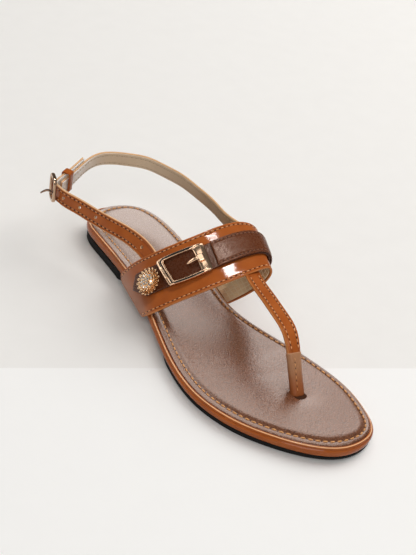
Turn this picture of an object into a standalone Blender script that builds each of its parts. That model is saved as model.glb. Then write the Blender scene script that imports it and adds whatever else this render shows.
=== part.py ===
"""Toe post sandal for the right foot: wrapped sole, instep band, toe strap and buckled sling.

Sizes are millimetres in the shoe's own directions: across (towards the medial side), station
(forwards from the back of the heel) and height above the floor. The toe points to -Y, and +X is
the medial side.
"""

import math

import bmesh
import bpy
import numpy as np
from mathutils import Vector

MM = 0.001

# Driving sizes
SOLE_LENGTH = 250.0
STRAP_WALL = 2.0
SLING_WIDTH = 10.0
SLING_WALL = 1.8
SEAT_GAP = 0.3
EDGE_POINTS = 84


def table(columns, *rows):
    """Named columns from rows of sizes."""
    return dict(zip(columns.split(), np.array(rows).T))


# Plan of the sole's top edge: distance of each side from the long axis
SOLE_PLAN = table(
    "station lateral medial",
    (0, 0.0, 0.0),
    (5, -14.5, 16.2),
    (15, -21.0, 22.6),
    (30, -22.8, 25.0),
    (50, -23.8, 24.4),
    (70, -25.5, 22.4),
    (95, -28.9, 18.3),
    (120, -34.7, 16.1),
    (145, -41.0, 21.8),
    (165, -44.5, 28.4),
    (180, -45.1, 32.2),
    (195, -42.7, 34.9),
    (210, -37.3, 35.3),
    (225, -28.2, 32.6),
    (240, -15.3, 26.7),
    (250, 5.7, 5.7),
)

# Sole heights: heel block, waist and forefoot, each with its place along the foot
HEEL_END = 60.0
BALL_START = 165.0
SPRING_START = 185.0
RIM_AT_HEEL = 13.1
RIM_AT_BALL = 7.9
RIM_TOE_SPRING = 1.7
RUBBER_AT_HEEL = 5.9
RUBBER_AT_BALL = 2.4
RUBBER_TOE_SPRING = 1.0
TOE_LIFT = 1.6
TOE_LIFT_START = 206.0
ARCH_LIFT = 2.6
ARCH_STATIONS = (60.0, 70.0, 118.0, 148.0)
RUBBER_INSET = -0.4
WAIST_INSET = 3.6
RUBBER_CHAMFER = (1.0, 0.9)
INSOLE_CROWN = 1.3
CROWN_STATIONS = (6.0, 40.0, 205.0, 244.0)
CROWN_SHARES = (0.86, 0.62, 0.34, 0.0)
FOREFOOT_CROWN = (-2.0, 30.0)

# Side of the wrapped midsole: distance outside the rim and share of the way up to it
RAND = table(
    "offset rise",
    (-1.2, 0.0),
    (0.5, 0.1),
    (1.2, 0.42),
    (0.9, 0.78),
)
# Bead along the midsole's top edge, down to the seat of the insole: drop below the rim
BEAD = table(
    "offset drop",
    (0.2, 0.35),
    (-0.8, 0.0),
    (-1.8, 0.45),
    (-2.1, 2.2),
)
# Edge of the insole, from its underside to the flat stitched margin
INSOLE_EDGE = table(
    "offset drop",
    (-2.8, 1.9),
    (-2.4, 1.1),
    (-2.9, 0.4),
    (-6.2, 0.15),
)

# Instep band: its front and rear edges from the lateral hem over the foot to the medial hem
BAND = table(
    "share front_across front_station front_height rear_across rear_station rear_height",
    (0.00, -36.1, 107.9, 5.9, -28.8, 66.9, 6.4),
    (0.07, -35.4, 113.6, 11.4, -28.4, 72.2, 14.8),
    (0.13, -32.0, 117.8, 16.2, -26.9, 78.2, 22.8),
    (0.21, -26.2, 123.5, 23.0, -23.6, 87.0, 32.4),
    (0.31, -17.4, 130.1, 30.9, -16.7, 97.2, 43.4),
    (0.41, -6.5, 134.8, 37.2, -4.2, 104.0, 52.0),
    (0.51, 5.7, 137.3, 41.7, 11.8, 105.7, 56.6),
    (0.60, 17.4, 137.9, 44.6, 26.7, 106.1, 55.8),
    (0.66, 25.0, 138.1, 44.2, 34.6, 107.0, 50.8),
    (0.70, 27.0, 138.0, 40.1, 37.6, 106.2, 44.5),
    (0.77, 25.7, 134.9, 31.6, 37.1, 101.8, 34.0),
    (0.84, 23.4, 130.0, 24.0, 33.8, 95.4, 24.7),
    (0.92, 20.9, 123.2, 15.6, 28.8, 87.1, 15.5),
    (1.00, 19.9, 113.0, 5.2, 25.0, 76.5, 6.0),
)
BAND_LENGTH = 150.0
BAND_WIDTH = 36.0
REAR_CORNER = 7.0
FRONT_CORNER = 2.0

# Toe strap: the middle of its upper face from the toe post to the band, with its section
TOE_STRAP = table(
    "across station height width thickness",
    (5.4, 204.3, 9.6, 7.4, 4.6),
    (6.1, 198.4, 19.5, 7.4, 4.6),
    (6.8, 192.7, 29.0, 8.2, 4.2),
    (7.8, 184.6, 36.2, 9.2, 2.6),
    (9.3, 172.1, 39.1, 9.4, 2.2),
    (11.4, 155.4, 40.7, 9.4, 2.2),
)
TOE_STRAP_SHARE = 0.572
TOE_STRAP_TUCK = (0.05, 0.45)

# Sling: the middle of each strap from under the band, with the inward lean of its upper edge
LONG_SLING = table(
    "across station height lean",
    (31.4, 84.5, 42.7, 14),
    (31.6, 69.0, 43.5, 14),
    (31.4, 50.0, 43.5, 14),
    (29.8, 32.4, 43.5, 14),
    (26.0, 17.6, 43.0, 14),
    (20.9, 4.7, 42.5, 14),
    (13.1, -3.1, 42.0, 14),
    (4.2, -8.9, 41.5, 14),
    (-3.2, -11.0, 41.0, 14),
    (-10.7, -9.7, 40.0, 12),
    (-19.3, -5.1, 38.5, 10),
    (-28.2, 0.6, 37.0, 8),
    (-34.0, 4.2, 36.0, 5),
    (-38.4, 6.9, 35.4, 5),
)
LONG_SLING_SHARE = 0.715
LOOP_CENTRE = (-6.0, 45.0, 0.0)
SHORT_SLING = table(
    "across station height lean",
    (-20.9, 76.3, 31.0, 32),
    (-22.4, 65.1, 31.5, 24),
    (-27.7, 50.9, 32.3, 17),
    (-33.1, 37.1, 33.0, 15),
    (-37.3, 26.8, 34.0, 12),
    (-40.8, 19.5, 34.7, 9),
    (-42.6, 12.0, 35.2, 5),
    (-41.3, 5.7, 35.5, 5),
)
SHORT_SLING_SHARE = 0.205
SLING_TUCK = (0.72, 0.9)
# The short strap's tip lies along the outside of the long one and stands higher by its rise
TIP_RISE = 2.6
TIP_ACROSS = (-35.0, -31.0, -27.0, -23.0, -16.8)
SEWN_OVERLAP = 0.25

# Dark strap laid along the band, and the part of it that is doubled and stitched down
OVERLAY_MIDDLE = 0.53
OVERLAY_WIDTH = 16.6
OVERLAY_WALL = 1.0
OVERLAY_START = 0.062
OVERLAY_POINT = 8.5
OVERLAY_END = 0.955
FOLD_START = 0.44
FOLD_END = 0.80
FOLD_WALL = 0.9

# Metal trim on the band
BUCKLE_MIDDLE = (0.327, 0.535)
BUCKLE_LENGTH = 27.4
BUCKLE_WIDTH = 17.4
BUCKLE_BOW = 0.9
BUCKLE_BARS = (4.3, 6.0)
BUCKLE_SIDE = 1.3
BUCKLE_WALL = 1.8
BUCKLE_ROUND = 0.45
# The T-shaped prong, from its tip in the window back over the buckle's plate
PRONG = table(
    "reach half_width rise",
    (5.9, 0.4, 0.0),
    (1.0, 1.0, 2.1),
    (-0.4, 1.0, 2.1),
    (-0.8, 2.6, 2.1),
    (-4.2, 2.6, 2.1),
)
PRONG_WALL = 1.3
ROSETTE_MIDDLE = (0.168, 0.49)
ROSETTE_RADIUS = 8.2
ROSETTE_HEIGHT = 5.6
ROSETTE_SPIKES = 18
CLAW_REACH = (0.12, -0.06)
# Rosette from its top over the claws to its underside, as shares of its radius and height
ROSETTE = table(
    "radius height claw",
    (0.00, 1.00, 0.0),
    (0.34, 0.94, 0.0),
    (0.62, 0.76, 0.0),
    (0.80, 0.50, 0.0),
    (0.84, 0.46, 0.5),
    (0.90, 0.20, 1.0),
    (0.70, 0.06, 0.0),
    (0.68, 0.00, 0.0),
    (0.00, 0.00, 0.0),
)

# Sling buckle: a frame on the outside of the strap at the loop's lateral corner
FRAME_MIDDLE = (-44.9, 8.3, 38.0)
FRAME_TURN = 16.0
FRAME_HEIGHT = 17.2
FRAME_LENGTH = 12.5
FRAME_CORNER = 3.6
FRAME_WIRE = 1.1
TONGUE = table(
    "across station height",
    (-48.5, 13.8, 37.8),
    (-48.2, 10.0, 37.4),
    (-49.0, 7.0, 36.0),
    (-51.3, 5.2, 33.8),
)
TONGUE_RADIUS = 0.7
KEEPER_ACROSS = -32.3
KEEPER_LENGTH = 4.8
KEEPER_WALL = 0.9
KEEPER_ROOM = 0.4

# Finishes: colour, roughness and metallic value
TAN_PATENT = ((0.43, 0.115, 0.03), 0.16, 0.0)
DARK_LEATHER = ((0.055, 0.018, 0.009), 0.42, 0.0)
INSOLE_LEATHER = ((0.23, 0.125, 0.09), 0.5, 0.0)
BLACK_RUBBER = ((0.012, 0.012, 0.013), 0.7, 0.0)
ROSE_GOLD = ((0.83, 0.56, 0.4), 0.2, 1.0)


def natural_spline(knots, values, at):
    """Natural cubic curve through values at the knots, read at the places in at."""
    step = np.diff(knots)
    count = len(knots)
    system = np.eye(count)
    target = np.zeros(count)
    for i in range(1, count - 1):
        system[i, i - 1 : i + 2] = step[i - 1], 2 * (step[i - 1] + step[i]), step[i]
        slopes = np.diff(values[i - 1 : i + 2]) / step[i - 1 : i + 1]
        target[i] = 6 * (slopes[1] - slopes[0])
    bend = np.linalg.solve(system, target)
    i = np.clip(np.searchsorted(knots, at) - 1, 0, count - 2)
    ahead = knots[i + 1] - at
    behind = at - knots[i]
    cubic = (bend[i] * ahead**3 + bend[i + 1] * behind**3) / (6 * step[i])
    low = (values[i] / step[i] - bend[i] * step[i] / 6) * ahead
    high = (values[i + 1] / step[i] - bend[i + 1] * step[i] / 6) * behind
    return cubic + low + high


def smooth_step(value, start, end):
    share = np.clip((value - start) / (end - start), 0, 1)
    return share * share * (3 - 2 * share)


def heel_to_ball(station, at_heel, at_ball, toe_spring):
    """A height that steps down from the heel to the ball and springs up again at the toe."""
    fall = smooth_step(station, HEEL_END, BALL_START)
    spring = np.clip((station - SPRING_START) / (SOLE_LENGTH - SPRING_START), 0, None)
    return at_heel + (at_ball - at_heel) * fall + toe_spring * spring**2


def rim_height(station):
    return heel_to_ball(station, RIM_AT_HEEL, RIM_AT_BALL, RIM_TOE_SPRING)


def rubber_height(station):
    return heel_to_ball(station, RUBBER_AT_HEEL, RUBBER_AT_BALL, RUBBER_TOE_SPRING)


def waist_share(station):
    """1 under the arch, 0 on the heel and the ball, which stand on the floor."""
    breast, arch_start, arch_end, ball = ARCH_STATIONS
    return smooth_step(station, breast, arch_start) - smooth_step(station, arch_end, ball)


def ground_height(station):
    lift = np.clip((station - TOE_LIFT_START) / (SOLE_LENGTH - TOE_LIFT_START), 0, None)
    return ARCH_LIFT * waist_share(station) + TOE_LIFT * lift**2


def rim_plan():
    """Closed plan of the sole's top edge from the heel, and its outward directions."""
    turn = np.linspace(0, 2 * math.pi, EDGE_POINTS, endpoint=False)
    angle = np.where(turn <= math.pi, turn, 2 * math.pi - turn)
    knots = np.arccos(1 - 2 * SOLE_PLAN["station"] / SOLE_LENGTH)
    medial = natural_spline(knots, SOLE_PLAN["medial"], angle)
    lateral = natural_spline(knots, SOLE_PLAN["lateral"], angle)
    across = np.where(turn <= math.pi, medial, lateral)
    plan = np.column_stack([across, SOLE_LENGTH / 2 * (1 - np.cos(angle))])
    along = np.roll(plan, -1, axis=0) - np.roll(plan, 1, axis=0)
    outward = np.column_stack([along[:, 1], -along[:, 0]])
    return plan, outward / np.linalg.norm(outward, axis=1)[:, None]


RIM, RIM_OUTWARD = rim_plan()


def edge_ring(offset, height):
    """The rim moved outwards by offset, at a height worked out from each point's station."""
    plan = RIM + RIM_OUTWARD * np.reshape(offset, (-1, 1))
    return np.column_stack([plan, height(plan[:, 1])])


def shrunk_ring(ring, share, height):
    """A ring drawn in across the foot towards its own middle line, to cap a solid."""
    opposite = np.roll(ring[::-1], 1, axis=0)
    middle = (ring[:, 0] + opposite[:, 0]) / 2
    station = (ring[:, 1] + opposite[:, 1]) / 2
    across = middle + (ring[:, 0] - middle) * share
    along = station + (ring[:, 1] - station) * share
    return np.column_stack([across, along, height(along)])


def place(points):
    """Points in the shoe's directions as Blender's metres, with the toe towards -Y."""
    points = np.asarray(points, dtype=float)
    return np.stack([points[..., 0], SOLE_LENGTH / 2 - points[..., 1], points[..., 2]], -1) * MM


def new_material(name, finish):
    colour, roughness, metallic = finish
    material = bpy.data.materials.new(name)
    material.use_nodes = True
    shader = material.node_tree.nodes["Principled BSDF"]
    shader.inputs["Base Color"].default_value = (*colour, 1)
    shader.inputs["Roughness"].default_value = roughness
    shader.inputs["Metallic"].default_value = metallic
    material.diffuse_color = (*colour, 1)
    return material


def new_object(name, mesh, finish, collection):
    mesh.materials.append(new_material(name, finish))
    mesh.shade_smooth()
    mesh.set_sharp_from_angle(angle=math.radians(40))
    obj = bpy.data.objects.new(name, mesh)
    collection.objects.link(obj)
    return obj


def grid_mesh(name, grid, ring=False, caps=False):
    """A mesh over a grid of points. With ring the columns close, and caps fill its two ends."""
    rows, columns = grid.shape[:2]
    index = np.arange(rows * columns).reshape(rows, columns)
    if ring:
        index = np.column_stack([index, index[:, 0]])
    corners = [index[:-1, :-1], index[:-1, 1:], index[1:, 1:], index[1:, :-1]]
    faces = np.stack(corners, -1).reshape(-1, 4).tolist()
    if caps:
        faces += [index[0, :columns].tolist(), index[-1, :columns].tolist()]
    mesh = bpy.data.meshes.new(name)
    mesh.from_pydata(place(grid.reshape(-1, 3)).tolist(), [], faces)
    shell = bmesh.new()
    shell.from_mesh(mesh)
    bmesh.ops.remove_doubles(shell, verts=shell.verts, dist=0.002 * MM)
    if ring:
        bmesh.ops.recalc_face_normals(shell, faces=shell.faces)
    shell.to_mesh(mesh)
    shell.free()
    return mesh


def band_edge(edge, share):
    """One edge of the band at each share of its length."""
    axes = ("across", "station", "height")
    values = [natural_spline(BAND["share"], BAND[f"{edge}_{axis}"], share) for axis in axes]
    return np.stack(values, -1)


def band_point(share, breadth, lift):
    """The band's outer face at a share of its length and breadth, raised by lift along its normal."""
    share, breadth, lift = np.broadcast_arrays(share, breadth, np.asarray(lift, float))

    def face(along, over):
        front = band_edge("front", along)
        return front + (band_edge("rear", along) - front) * over[..., None]

    nudge = 1e-3
    up = face(np.clip(share + nudge, 0, 1), breadth) - face(np.clip(share - nudge, 0, 1), breadth)
    over = face(share, breadth + nudge) - face(share, breadth - nudge)
    normal = np.cross(up, over)
    normal /= np.linalg.norm(normal, axis=-1)[..., None]
    return face(share, breadth) - normal * lift[..., None]


def path_through(*columns, spacing):
    """Smooth route through points, with an even spacing: one array for each column."""
    points = np.stack(columns[:3], -1)
    length = np.concatenate([[0], np.cumsum(np.linalg.norm(np.diff(points, axis=0), axis=1))])
    at = np.linspace(0, length[-1], max(4, round(length[-1] / spacing)))
    return [natural_spline(length, np.asarray(column, float), at) for column in columns]


def unit(vectors):
    return vectors / np.linalg.norm(vectors, axis=-1, keepdims=True)


def chamfered_section(width, thickness, chamfer):
    """Eight corners of a flat strap's section for each row: (rows, 8, 2) of width and thickness."""
    half = np.stack([width / 2, thickness / 2], -1)
    cut = np.minimum(chamfer, thickness * 0.3)
    signs = np.array([(-1, -1), (1, -1), (1, 1), (-1, 1)])
    corners = []
    for number, sign in enumerate(signs):
        near = np.stack([cut, 0 * cut], -1)
        far = np.stack([0 * cut, cut], -1)
        order = (far, near) if number % 2 == 0 else (near, far)
        corners += [(half - part) * sign for part in order]
    return np.stack(corners, 1)


def strap_grid(route, sideways, width, thickness, chamfer=0.5):
    """A flat strap's sections along its route. sideways is about the direction of its width."""
    along = unit(np.gradient(route, axis=0))
    across = unit(sideways - along * np.sum(sideways * along, axis=-1, keepdims=True))
    through = np.cross(along, across)
    section = chamfered_section(width, thickness, chamfer)
    return route[:, None] + section[..., :1] * across[:, None] + section[..., 1:] * through[:, None]


def sling_route(rows, share):
    """A sling strap's middle line from the inside of the band, with its directions at each point."""
    depth = -(STRAP_WALL + SLING_WALL / 2 - SEWN_OVERLAP)
    tucked = band_point(np.full(2, share), np.array(SLING_TUCK), depth)
    start = np.column_stack([tucked, np.full(2, rows["lean"][0])])
    columns = np.concatenate([start, np.column_stack(list(rows.values()))]).T
    *axes, lean = path_through(*columns, spacing=3.2)
    middle = np.stack(axes, -1)
    along = unit(np.gradient(middle, axis=0))
    upright = np.array([0.0, 0.0, 1.0])
    inward = unit(np.cross(along, upright))
    inward *= np.sign(np.sum(inward * (LOOP_CENTRE - middle), axis=-1, keepdims=True))
    turn = np.radians(lean)[:, None]
    width_way = upright * np.cos(turn) + inward * np.sin(turn)
    width_way = unit(width_way - along * np.sum(width_way * along, axis=-1, keepdims=True))
    face_way = np.cross(along, width_way)
    face_way *= -np.sign(np.sum(face_way * inward, axis=-1, keepdims=True))
    return {"middle": middle, "lean": lean, "along": along, "width": width_way, "face": face_way}


def beside_long_sling(long_sling, across, lift):
    """The long sling's point, lean and directions at a place behind the heel, raised off its face."""
    behind = long_sling["middle"][:, 0] < 0
    places = long_sling["middle"][behind, 0]

    def read(values):
        return np.array([np.interp(-across, -places, column) for column in values[behind].T])

    frame = {key: unit(read(long_sling[key])) for key in ("along", "width", "face")}
    frame["middle"] = read(long_sling["middle"]) + frame["face"] * lift
    frame["lean"] = np.interp(-across, -places, long_sling["lean"][behind])
    return frame


def short_sling_rows(long_sling):
    """The short sling's rows, with its tip laid along the outside of the long sling."""
    rows = np.column_stack(list(SHORT_SLING.values()))
    for across in TIP_ACROSS:
        spot = beside_long_sling(long_sling, across, SLING_WALL - SEWN_OVERLAP)
        middle = spot["middle"] + spot["width"] * TIP_RISE
        rows = np.vstack([rows, [*middle, spot["lean"]]])
    return dict(zip(SHORT_SLING, rows.T))


LONG_ROUTE = sling_route(LONG_SLING, LONG_SLING_SHARE)
SHORT_ROUTE = sling_route(short_sling_rows(LONG_ROUTE), SHORT_SLING_SHARE)


def make_sling(name, route, collection):
    size = np.ones(len(route["middle"]))
    grid = strap_grid(route["middle"], route["width"], SLING_WIDTH * size, SLING_WALL * size)
    mesh = grid_mesh(name, grid, ring=True, caps=True)
    return new_object(name, mesh, TAN_PATENT, collection)


def make_outsole(collection):
    """Black rubber sole with its low heel: flat under heel and ball, lifted at waist and toe."""
    inset = -(RUBBER_INSET + WAIST_INSET * waist_share(RIM[:, 1]))
    chamfer_in, chamfer_up = RUBBER_CHAMFER
    foot = edge_ring(inset - chamfer_in, ground_height)
    side = edge_ring(inset, lambda station: ground_height(station) + chamfer_up)
    top = edge_ring(inset, rubber_height)
    rings = [shrunk_ring(foot, 0, ground_height), shrunk_ring(foot, 0.5, ground_height), foot, side]
    rings += [top, shrunk_ring(top, 0.5, rubber_height), shrunk_ring(top, 0, rubber_height)]
    mesh = grid_mesh("outsole", np.array(rings), ring=True)
    return new_object("outsole", mesh, BLACK_RUBBER, collection)


def below_rim(drop):
    """A height that stays a fixed drop below the sole's top edge."""
    return lambda station: rim_height(station) - drop


def make_midsole(collection):
    """Midsole wrapped in patent leather: a full rand, a bead at its top and a seat for the insole."""

    def under(station):
        return rubber_height(station) + SEAT_GAP

    def up_side(share):
        return lambda station: under(station) + (rim_height(station) - under(station)) * share

    side = [edge_ring(offset, up_side(rise)) for offset, rise in zip(RAND["offset"], RAND["rise"])]
    bead = [edge_ring(offset, below_rim(drop)) for offset, drop in zip(BEAD["offset"], BEAD["drop"])]
    seat_height = below_rim(BEAD["drop"][-1])
    rings = [shrunk_ring(side[0], share, under) for share in (0, 0.5)] + side + bead
    rings += [shrunk_ring(bead[-1], share, seat_height) for share in (0.5, 0)]
    mesh = grid_mesh("midsole", np.array(rings), ring=True)
    return new_object("midsole", mesh, TAN_PATENT, collection)


def crown_height(share, station):
    """The padding's rise at a share of the half width, which dies away at the heel and the toe."""
    heel_start, heel_full, toe_full, toe_end = CROWN_STATIONS
    ends = smooth_step(station, heel_start, heel_full) - smooth_step(station, toe_full, toe_end)
    return INSOLE_CROWN * ends * (1 - share**2)


def make_insole(collection):
    """Padded insole in the midsole's seat: a flat stitched margin round a low crown."""
    places = zip(INSOLE_EDGE["offset"], INSOLE_EDGE["drop"])
    edge = [edge_ring(offset, below_rim(drop)) for offset, drop in places]
    under = below_rim(INSOLE_EDGE["drop"][0])
    margin = below_rim(INSOLE_EDGE["drop"][-1])

    def crown(share):
        return lambda station: margin(station) + crown_height(share, station)

    rings = [shrunk_ring(edge[0], share, under) for share in (0, 0.5)] + edge
    rings += [shrunk_ring(edge[-1], share, crown(share)) for share in CROWN_SHARES]
    mesh = grid_mesh("insole", np.array(rings), ring=True)
    return new_object("insole", mesh, INSOLE_LEATHER, collection)


def hem_start(breadth):
    """How far the lateral hem is cut back at each breadth, to round its two corners."""
    from_rear = (1 - breadth) * BAND_WIDTH
    from_front = breadth * BAND_WIDTH
    rear = REAR_CORNER - np.clip(REAR_CORNER - from_rear, 0, None)
    front = FRONT_CORNER - np.clip(FRONT_CORNER - from_front, 0, None)
    cut = REAR_CORNER - np.sqrt(np.clip(REAR_CORNER**2 - (REAR_CORNER - rear) ** 2, 0, None))
    cut += FRONT_CORNER - np.sqrt(np.clip(FRONT_CORNER**2 - (FRONT_CORNER - front) ** 2, 0, None))
    return cut / BAND_LENGTH


def make_upper(collection, joined):
    """The sandal's straps as one solid: band, toe strap with its post, and the two sling straps."""
    breadth = np.concatenate([[0, 0.02, 0.06], np.linspace(0.2, 0.8, 4), [0.86, 0.93, 0.98, 1]])
    share = np.linspace(0, 1, 45)[:, None]
    share = hem_start(breadth) + (1 - hem_start(breadth)) * share
    mesh = grid_mesh("upper", band_point(share, breadth[None, :], 0.0))
    upper = new_object("upper", mesh, TAN_PATENT, collection)
    wall = upper.modifiers.new("Wall", "SOLIDIFY")
    wall.thickness = STRAP_WALL * MM
    wall.offset = 1
    wall.use_even_offset = True
    pieces = [
        make_toe_strap(joined),
        make_sling("long_sling", LONG_ROUTE, joined),
        make_sling("short_sling", SHORT_ROUTE, joined),
    ]
    for piece in pieces:
        piece.hide_render = True
        piece.display_type = "WIRE"
        join = upper.modifiers.new(f"Sewn {piece.name}", "BOOLEAN")
        join.operation = "UNION"
        join.object = piece
    return upper


def insole_height(across, station):
    """The insole's crowned face near the middle of the forefoot."""
    middle, half = FOREFOOT_CROWN
    share = (across - middle) / half
    return rim_height(station) - INSOLE_EDGE["drop"][-1] + crown_height(share, station)


def make_toe_strap(collection):
    """Toe strap: a wrapped post between the toes that flattens into a strap sewn under the band."""
    depth = -(STRAP_WALL - SEWN_OVERLAP)
    tucked = band_point(np.full(2, TOE_STRAP_SHARE), np.array(TOE_STRAP_TUCK), depth)
    rows = np.column_stack(list(TOE_STRAP.values()))
    sewn = np.column_stack([tucked, np.tile(rows[-1, 3:], (2, 1))])
    across, station, height, width, thickness = path_through(*np.concatenate([rows, sewn]).T, spacing=3.0)
    face = np.stack([across, station, height], -1)
    along = unit(np.gradient(face, axis=0))
    sideways = np.tile([1.0, 0.0, 0.0], (len(face), 1))
    inside = unit(np.cross(sideways, along))
    grid = strap_grid(face + inside * thickness[:, None] / 2, sideways, width, thickness, chamfer=1.2)
    foot = insole_height(across[0], station[0]) + SEAT_GAP
    grid[0] -= along[0] * ((grid[0][:, 2:] - foot) / along[0, 2])
    mesh = grid_mesh("toe_strap", grid, ring=True, caps=True)
    return new_object("toe_strap", mesh, TAN_PATENT, collection)


def band_sheet(name, share, breadth, low, high, finish, collection):
    """A closed sheet that follows the band between two lifts off its outer face."""
    outer = band_point(share, breadth, high)
    inner = band_point(share, breadth, low)
    rows = [inner[:, 0]]
    rows += [outer[:, column] for column in range(outer.shape[1])]
    rows += [inner[:, column] for column in range(inner.shape[1] - 1, 0, -1)]
    mesh = grid_mesh(name, np.stack(rows, 1), ring=True, caps=True)
    return new_object(name, mesh, finish, collection)


def overlay_breadths(count):
    half = OVERLAY_WIDTH / BAND_WIDTH / 2
    return np.linspace(OVERLAY_MIDDLE - half, OVERLAY_MIDDLE + half, count)[None, :]


def make_overlay(collection):
    """Dark leather strap along the band, with a pointed end on the lateral side."""
    breadth = overlay_breadths(7)
    aside = np.abs(breadth - OVERLAY_MIDDLE) / (OVERLAY_WIDTH / BAND_WIDTH / 2)
    start = OVERLAY_START + OVERLAY_POINT / BAND_LENGTH * aside
    share = start + (OVERLAY_END - start) * np.linspace(0, 1, 40)[:, None]
    low = SEAT_GAP
    return band_sheet(
        "overlay_strap", share, breadth, low, low + OVERLAY_WALL, DARK_LEATHER, collection
    )


OVERLAY_TOP = SEAT_GAP + OVERLAY_WALL


def make_fold(collection):
    """The dark strap's end, turned back through the buckle and stitched down over itself."""
    share = np.linspace(FOLD_START, FOLD_END, 20)[:, None]
    low = OVERLAY_TOP + SEAT_GAP
    share = share + 0 * overlay_breadths(5)
    return band_sheet(
        "strap_fold", share, overlay_breadths(5), low, low + FOLD_WALL, DARK_LEATHER, collection
    )


def on_band(middle, along, over, lift):
    """A point at distances along and over the band from a middle, raised by lift."""
    share, breadth = middle
    step = 0.01
    ends = band_point(np.array([share - step, share + step]), np.full(2, breadth), 0.0)
    sides = band_point(np.full(2, share), np.array([breadth - step, breadth + step]), 0.0)
    share_per_mm = 2 * step / np.linalg.norm(ends[1] - ends[0])
    breadth_per_mm = 2 * step / np.linalg.norm(sides[1] - sides[0])
    return band_point(share + along * share_per_mm, breadth + over * breadth_per_mm, lift)


def squared(middle, along, over):
    """Distances square to each other as distances along and over the band, whose rulings slant."""
    share, breadth = (np.array([value]) for value in middle)
    step = 0.01
    spot = band_point(share, breadth, 0.0)
    ahead = unit(band_point(share + step, breadth, 0.0) - spot)
    aside = unit(band_point(share, breadth + step, 0.0) - spot)
    slant = np.sum(ahead * aside)
    upright = math.sqrt(1 - slant**2)
    return along - over * slant / upright, over / upright


def rectangle_loop(length, width, count):
    """Points round a rectangle, count on each side, from the corner at -length, -width."""
    side = np.linspace(-1, 1, count, endpoint=False)
    one = np.ones(count)
    along = np.concatenate([side, one, -side, -one]) * length / 2
    over = np.concatenate([-one, side, one, -side]) * width / 2
    return along, over


def make_vamp_buckle(collection):
    """Curved buckle frame on the dark strap: bowed sides, a narrow bar and a wide plate."""
    along, over = rectangle_loop(BUCKLE_LENGTH, BUCKLE_WIDTH, 10)
    bow = BUCKLE_BOW * (1 - (2 * along / BUCKLE_LENGTH) ** 2)
    over = over * (1 + 2 * bow / BUCKLE_WIDTH)
    near, far = BUCKLE_BARS
    window_length = BUCKLE_LENGTH - near - far
    window_along = along * window_length / BUCKLE_LENGTH + (near - far) / 2
    window_over = over * (BUCKLE_WIDTH - 2 * BUCKLE_SIDE) / BUCKLE_WIDTH
    low = OVERLAY_TOP + SEAT_GAP
    high = low + BUCKLE_WALL
    top_along = along * (1 - 2 * BUCKLE_ROUND / BUCKLE_LENGTH)
    top_over = over * (1 - 2 * BUCKLE_ROUND / BUCKLE_WIDTH)
    places = [
        (along, over, low),
        (along, over, high - BUCKLE_ROUND),
        (top_along, top_over, high),
        (window_along, window_over, high),
        (window_along, window_over, low),
        (along, over, low),
    ]
    rings = [on_band(BUCKLE_MIDDLE, *place_on_strap) for place_on_strap in places]
    mesh = grid_mesh("vamp_buckle", np.array(rings), ring=True)
    return new_object("vamp_buckle", mesh, ROSE_GOLD, collection)


def make_vamp_prong(collection):
    """Short T-shaped prong: its foot lies over the buckle's plate, its tip on the dark strap."""
    along = BUCKLE_LENGTH / 2 - BUCKLE_BARS[1] - PRONG["reach"][:, None]
    over = PRONG["half_width"][:, None] * np.array([-1, 1, 1, -1])
    wall = PRONG_WALL * np.array([0, 0, 1, 1])
    lift = OVERLAY_TOP + SEAT_GAP + PRONG["rise"][:, None] + wall
    mesh = grid_mesh("vamp_prong", on_band(BUCKLE_MIDDLE, along + 0 * over, over, lift), ring=True, caps=True)
    return new_object("vamp_prong", mesh, ROSE_GOLD, collection)


def make_rosette(collection):
    """Jewelled rosette: a domed cluster inside a crown of small claws."""
    turn = np.linspace(0, 2 * math.pi, 2 * ROSETTE_SPIKES, endpoint=False)
    claw = np.tile(CLAW_REACH, ROSETTE_SPIKES)
    reach = ROSETTE["radius"][:, None] + claw * ROSETTE["claw"][:, None]
    reach = ROSETTE_RADIUS * reach
    along, over = squared(ROSETTE_MIDDLE, reach * np.cos(turn), reach * np.sin(turn))
    lift = OVERLAY_TOP + SEAT_GAP + ROSETTE_HEIGHT * ROSETTE["height"][:, None] + 0 * along
    mesh = grid_mesh("rosette", on_band(ROSETTE_MIDDLE, along, over, lift), ring=True)
    return new_object("rosette", mesh, ROSE_GOLD, collection)


def tube_mesh(name, route, radius, closed):
    """A round wire along a route, as a mesh from a bevelled curve."""
    curve = bpy.data.curves.new(name, "CURVE")
    curve.dimensions = "3D"
    curve.bevel_depth = radius * MM
    curve.bevel_resolution = 2
    curve.use_fill_caps = True
    spline = curve.splines.new("POLY")
    spline.points.add(len(route) - 1)
    spline.use_cyclic_u = closed
    homogeneous = np.column_stack([place(route), np.ones(len(route))])
    spline.points.foreach_set("co", homogeneous.ravel())
    guide = bpy.data.objects.new(name, curve)
    bpy.context.scene.collection.objects.link(guide)
    bpy.context.view_layer.update()
    seen = guide.evaluated_get(bpy.context.evaluated_depsgraph_get())
    mesh = bpy.data.meshes.new_from_object(seen)
    bpy.data.objects.remove(guide)
    shell = bmesh.new()
    shell.from_mesh(mesh)
    bmesh.ops.remove_doubles(shell, verts=shell.verts, dist=0.002 * MM)
    bmesh.ops.recalc_face_normals(shell, faces=shell.faces)
    shell.to_mesh(mesh)
    shell.free()
    mesh.materials.clear()
    return mesh


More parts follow.
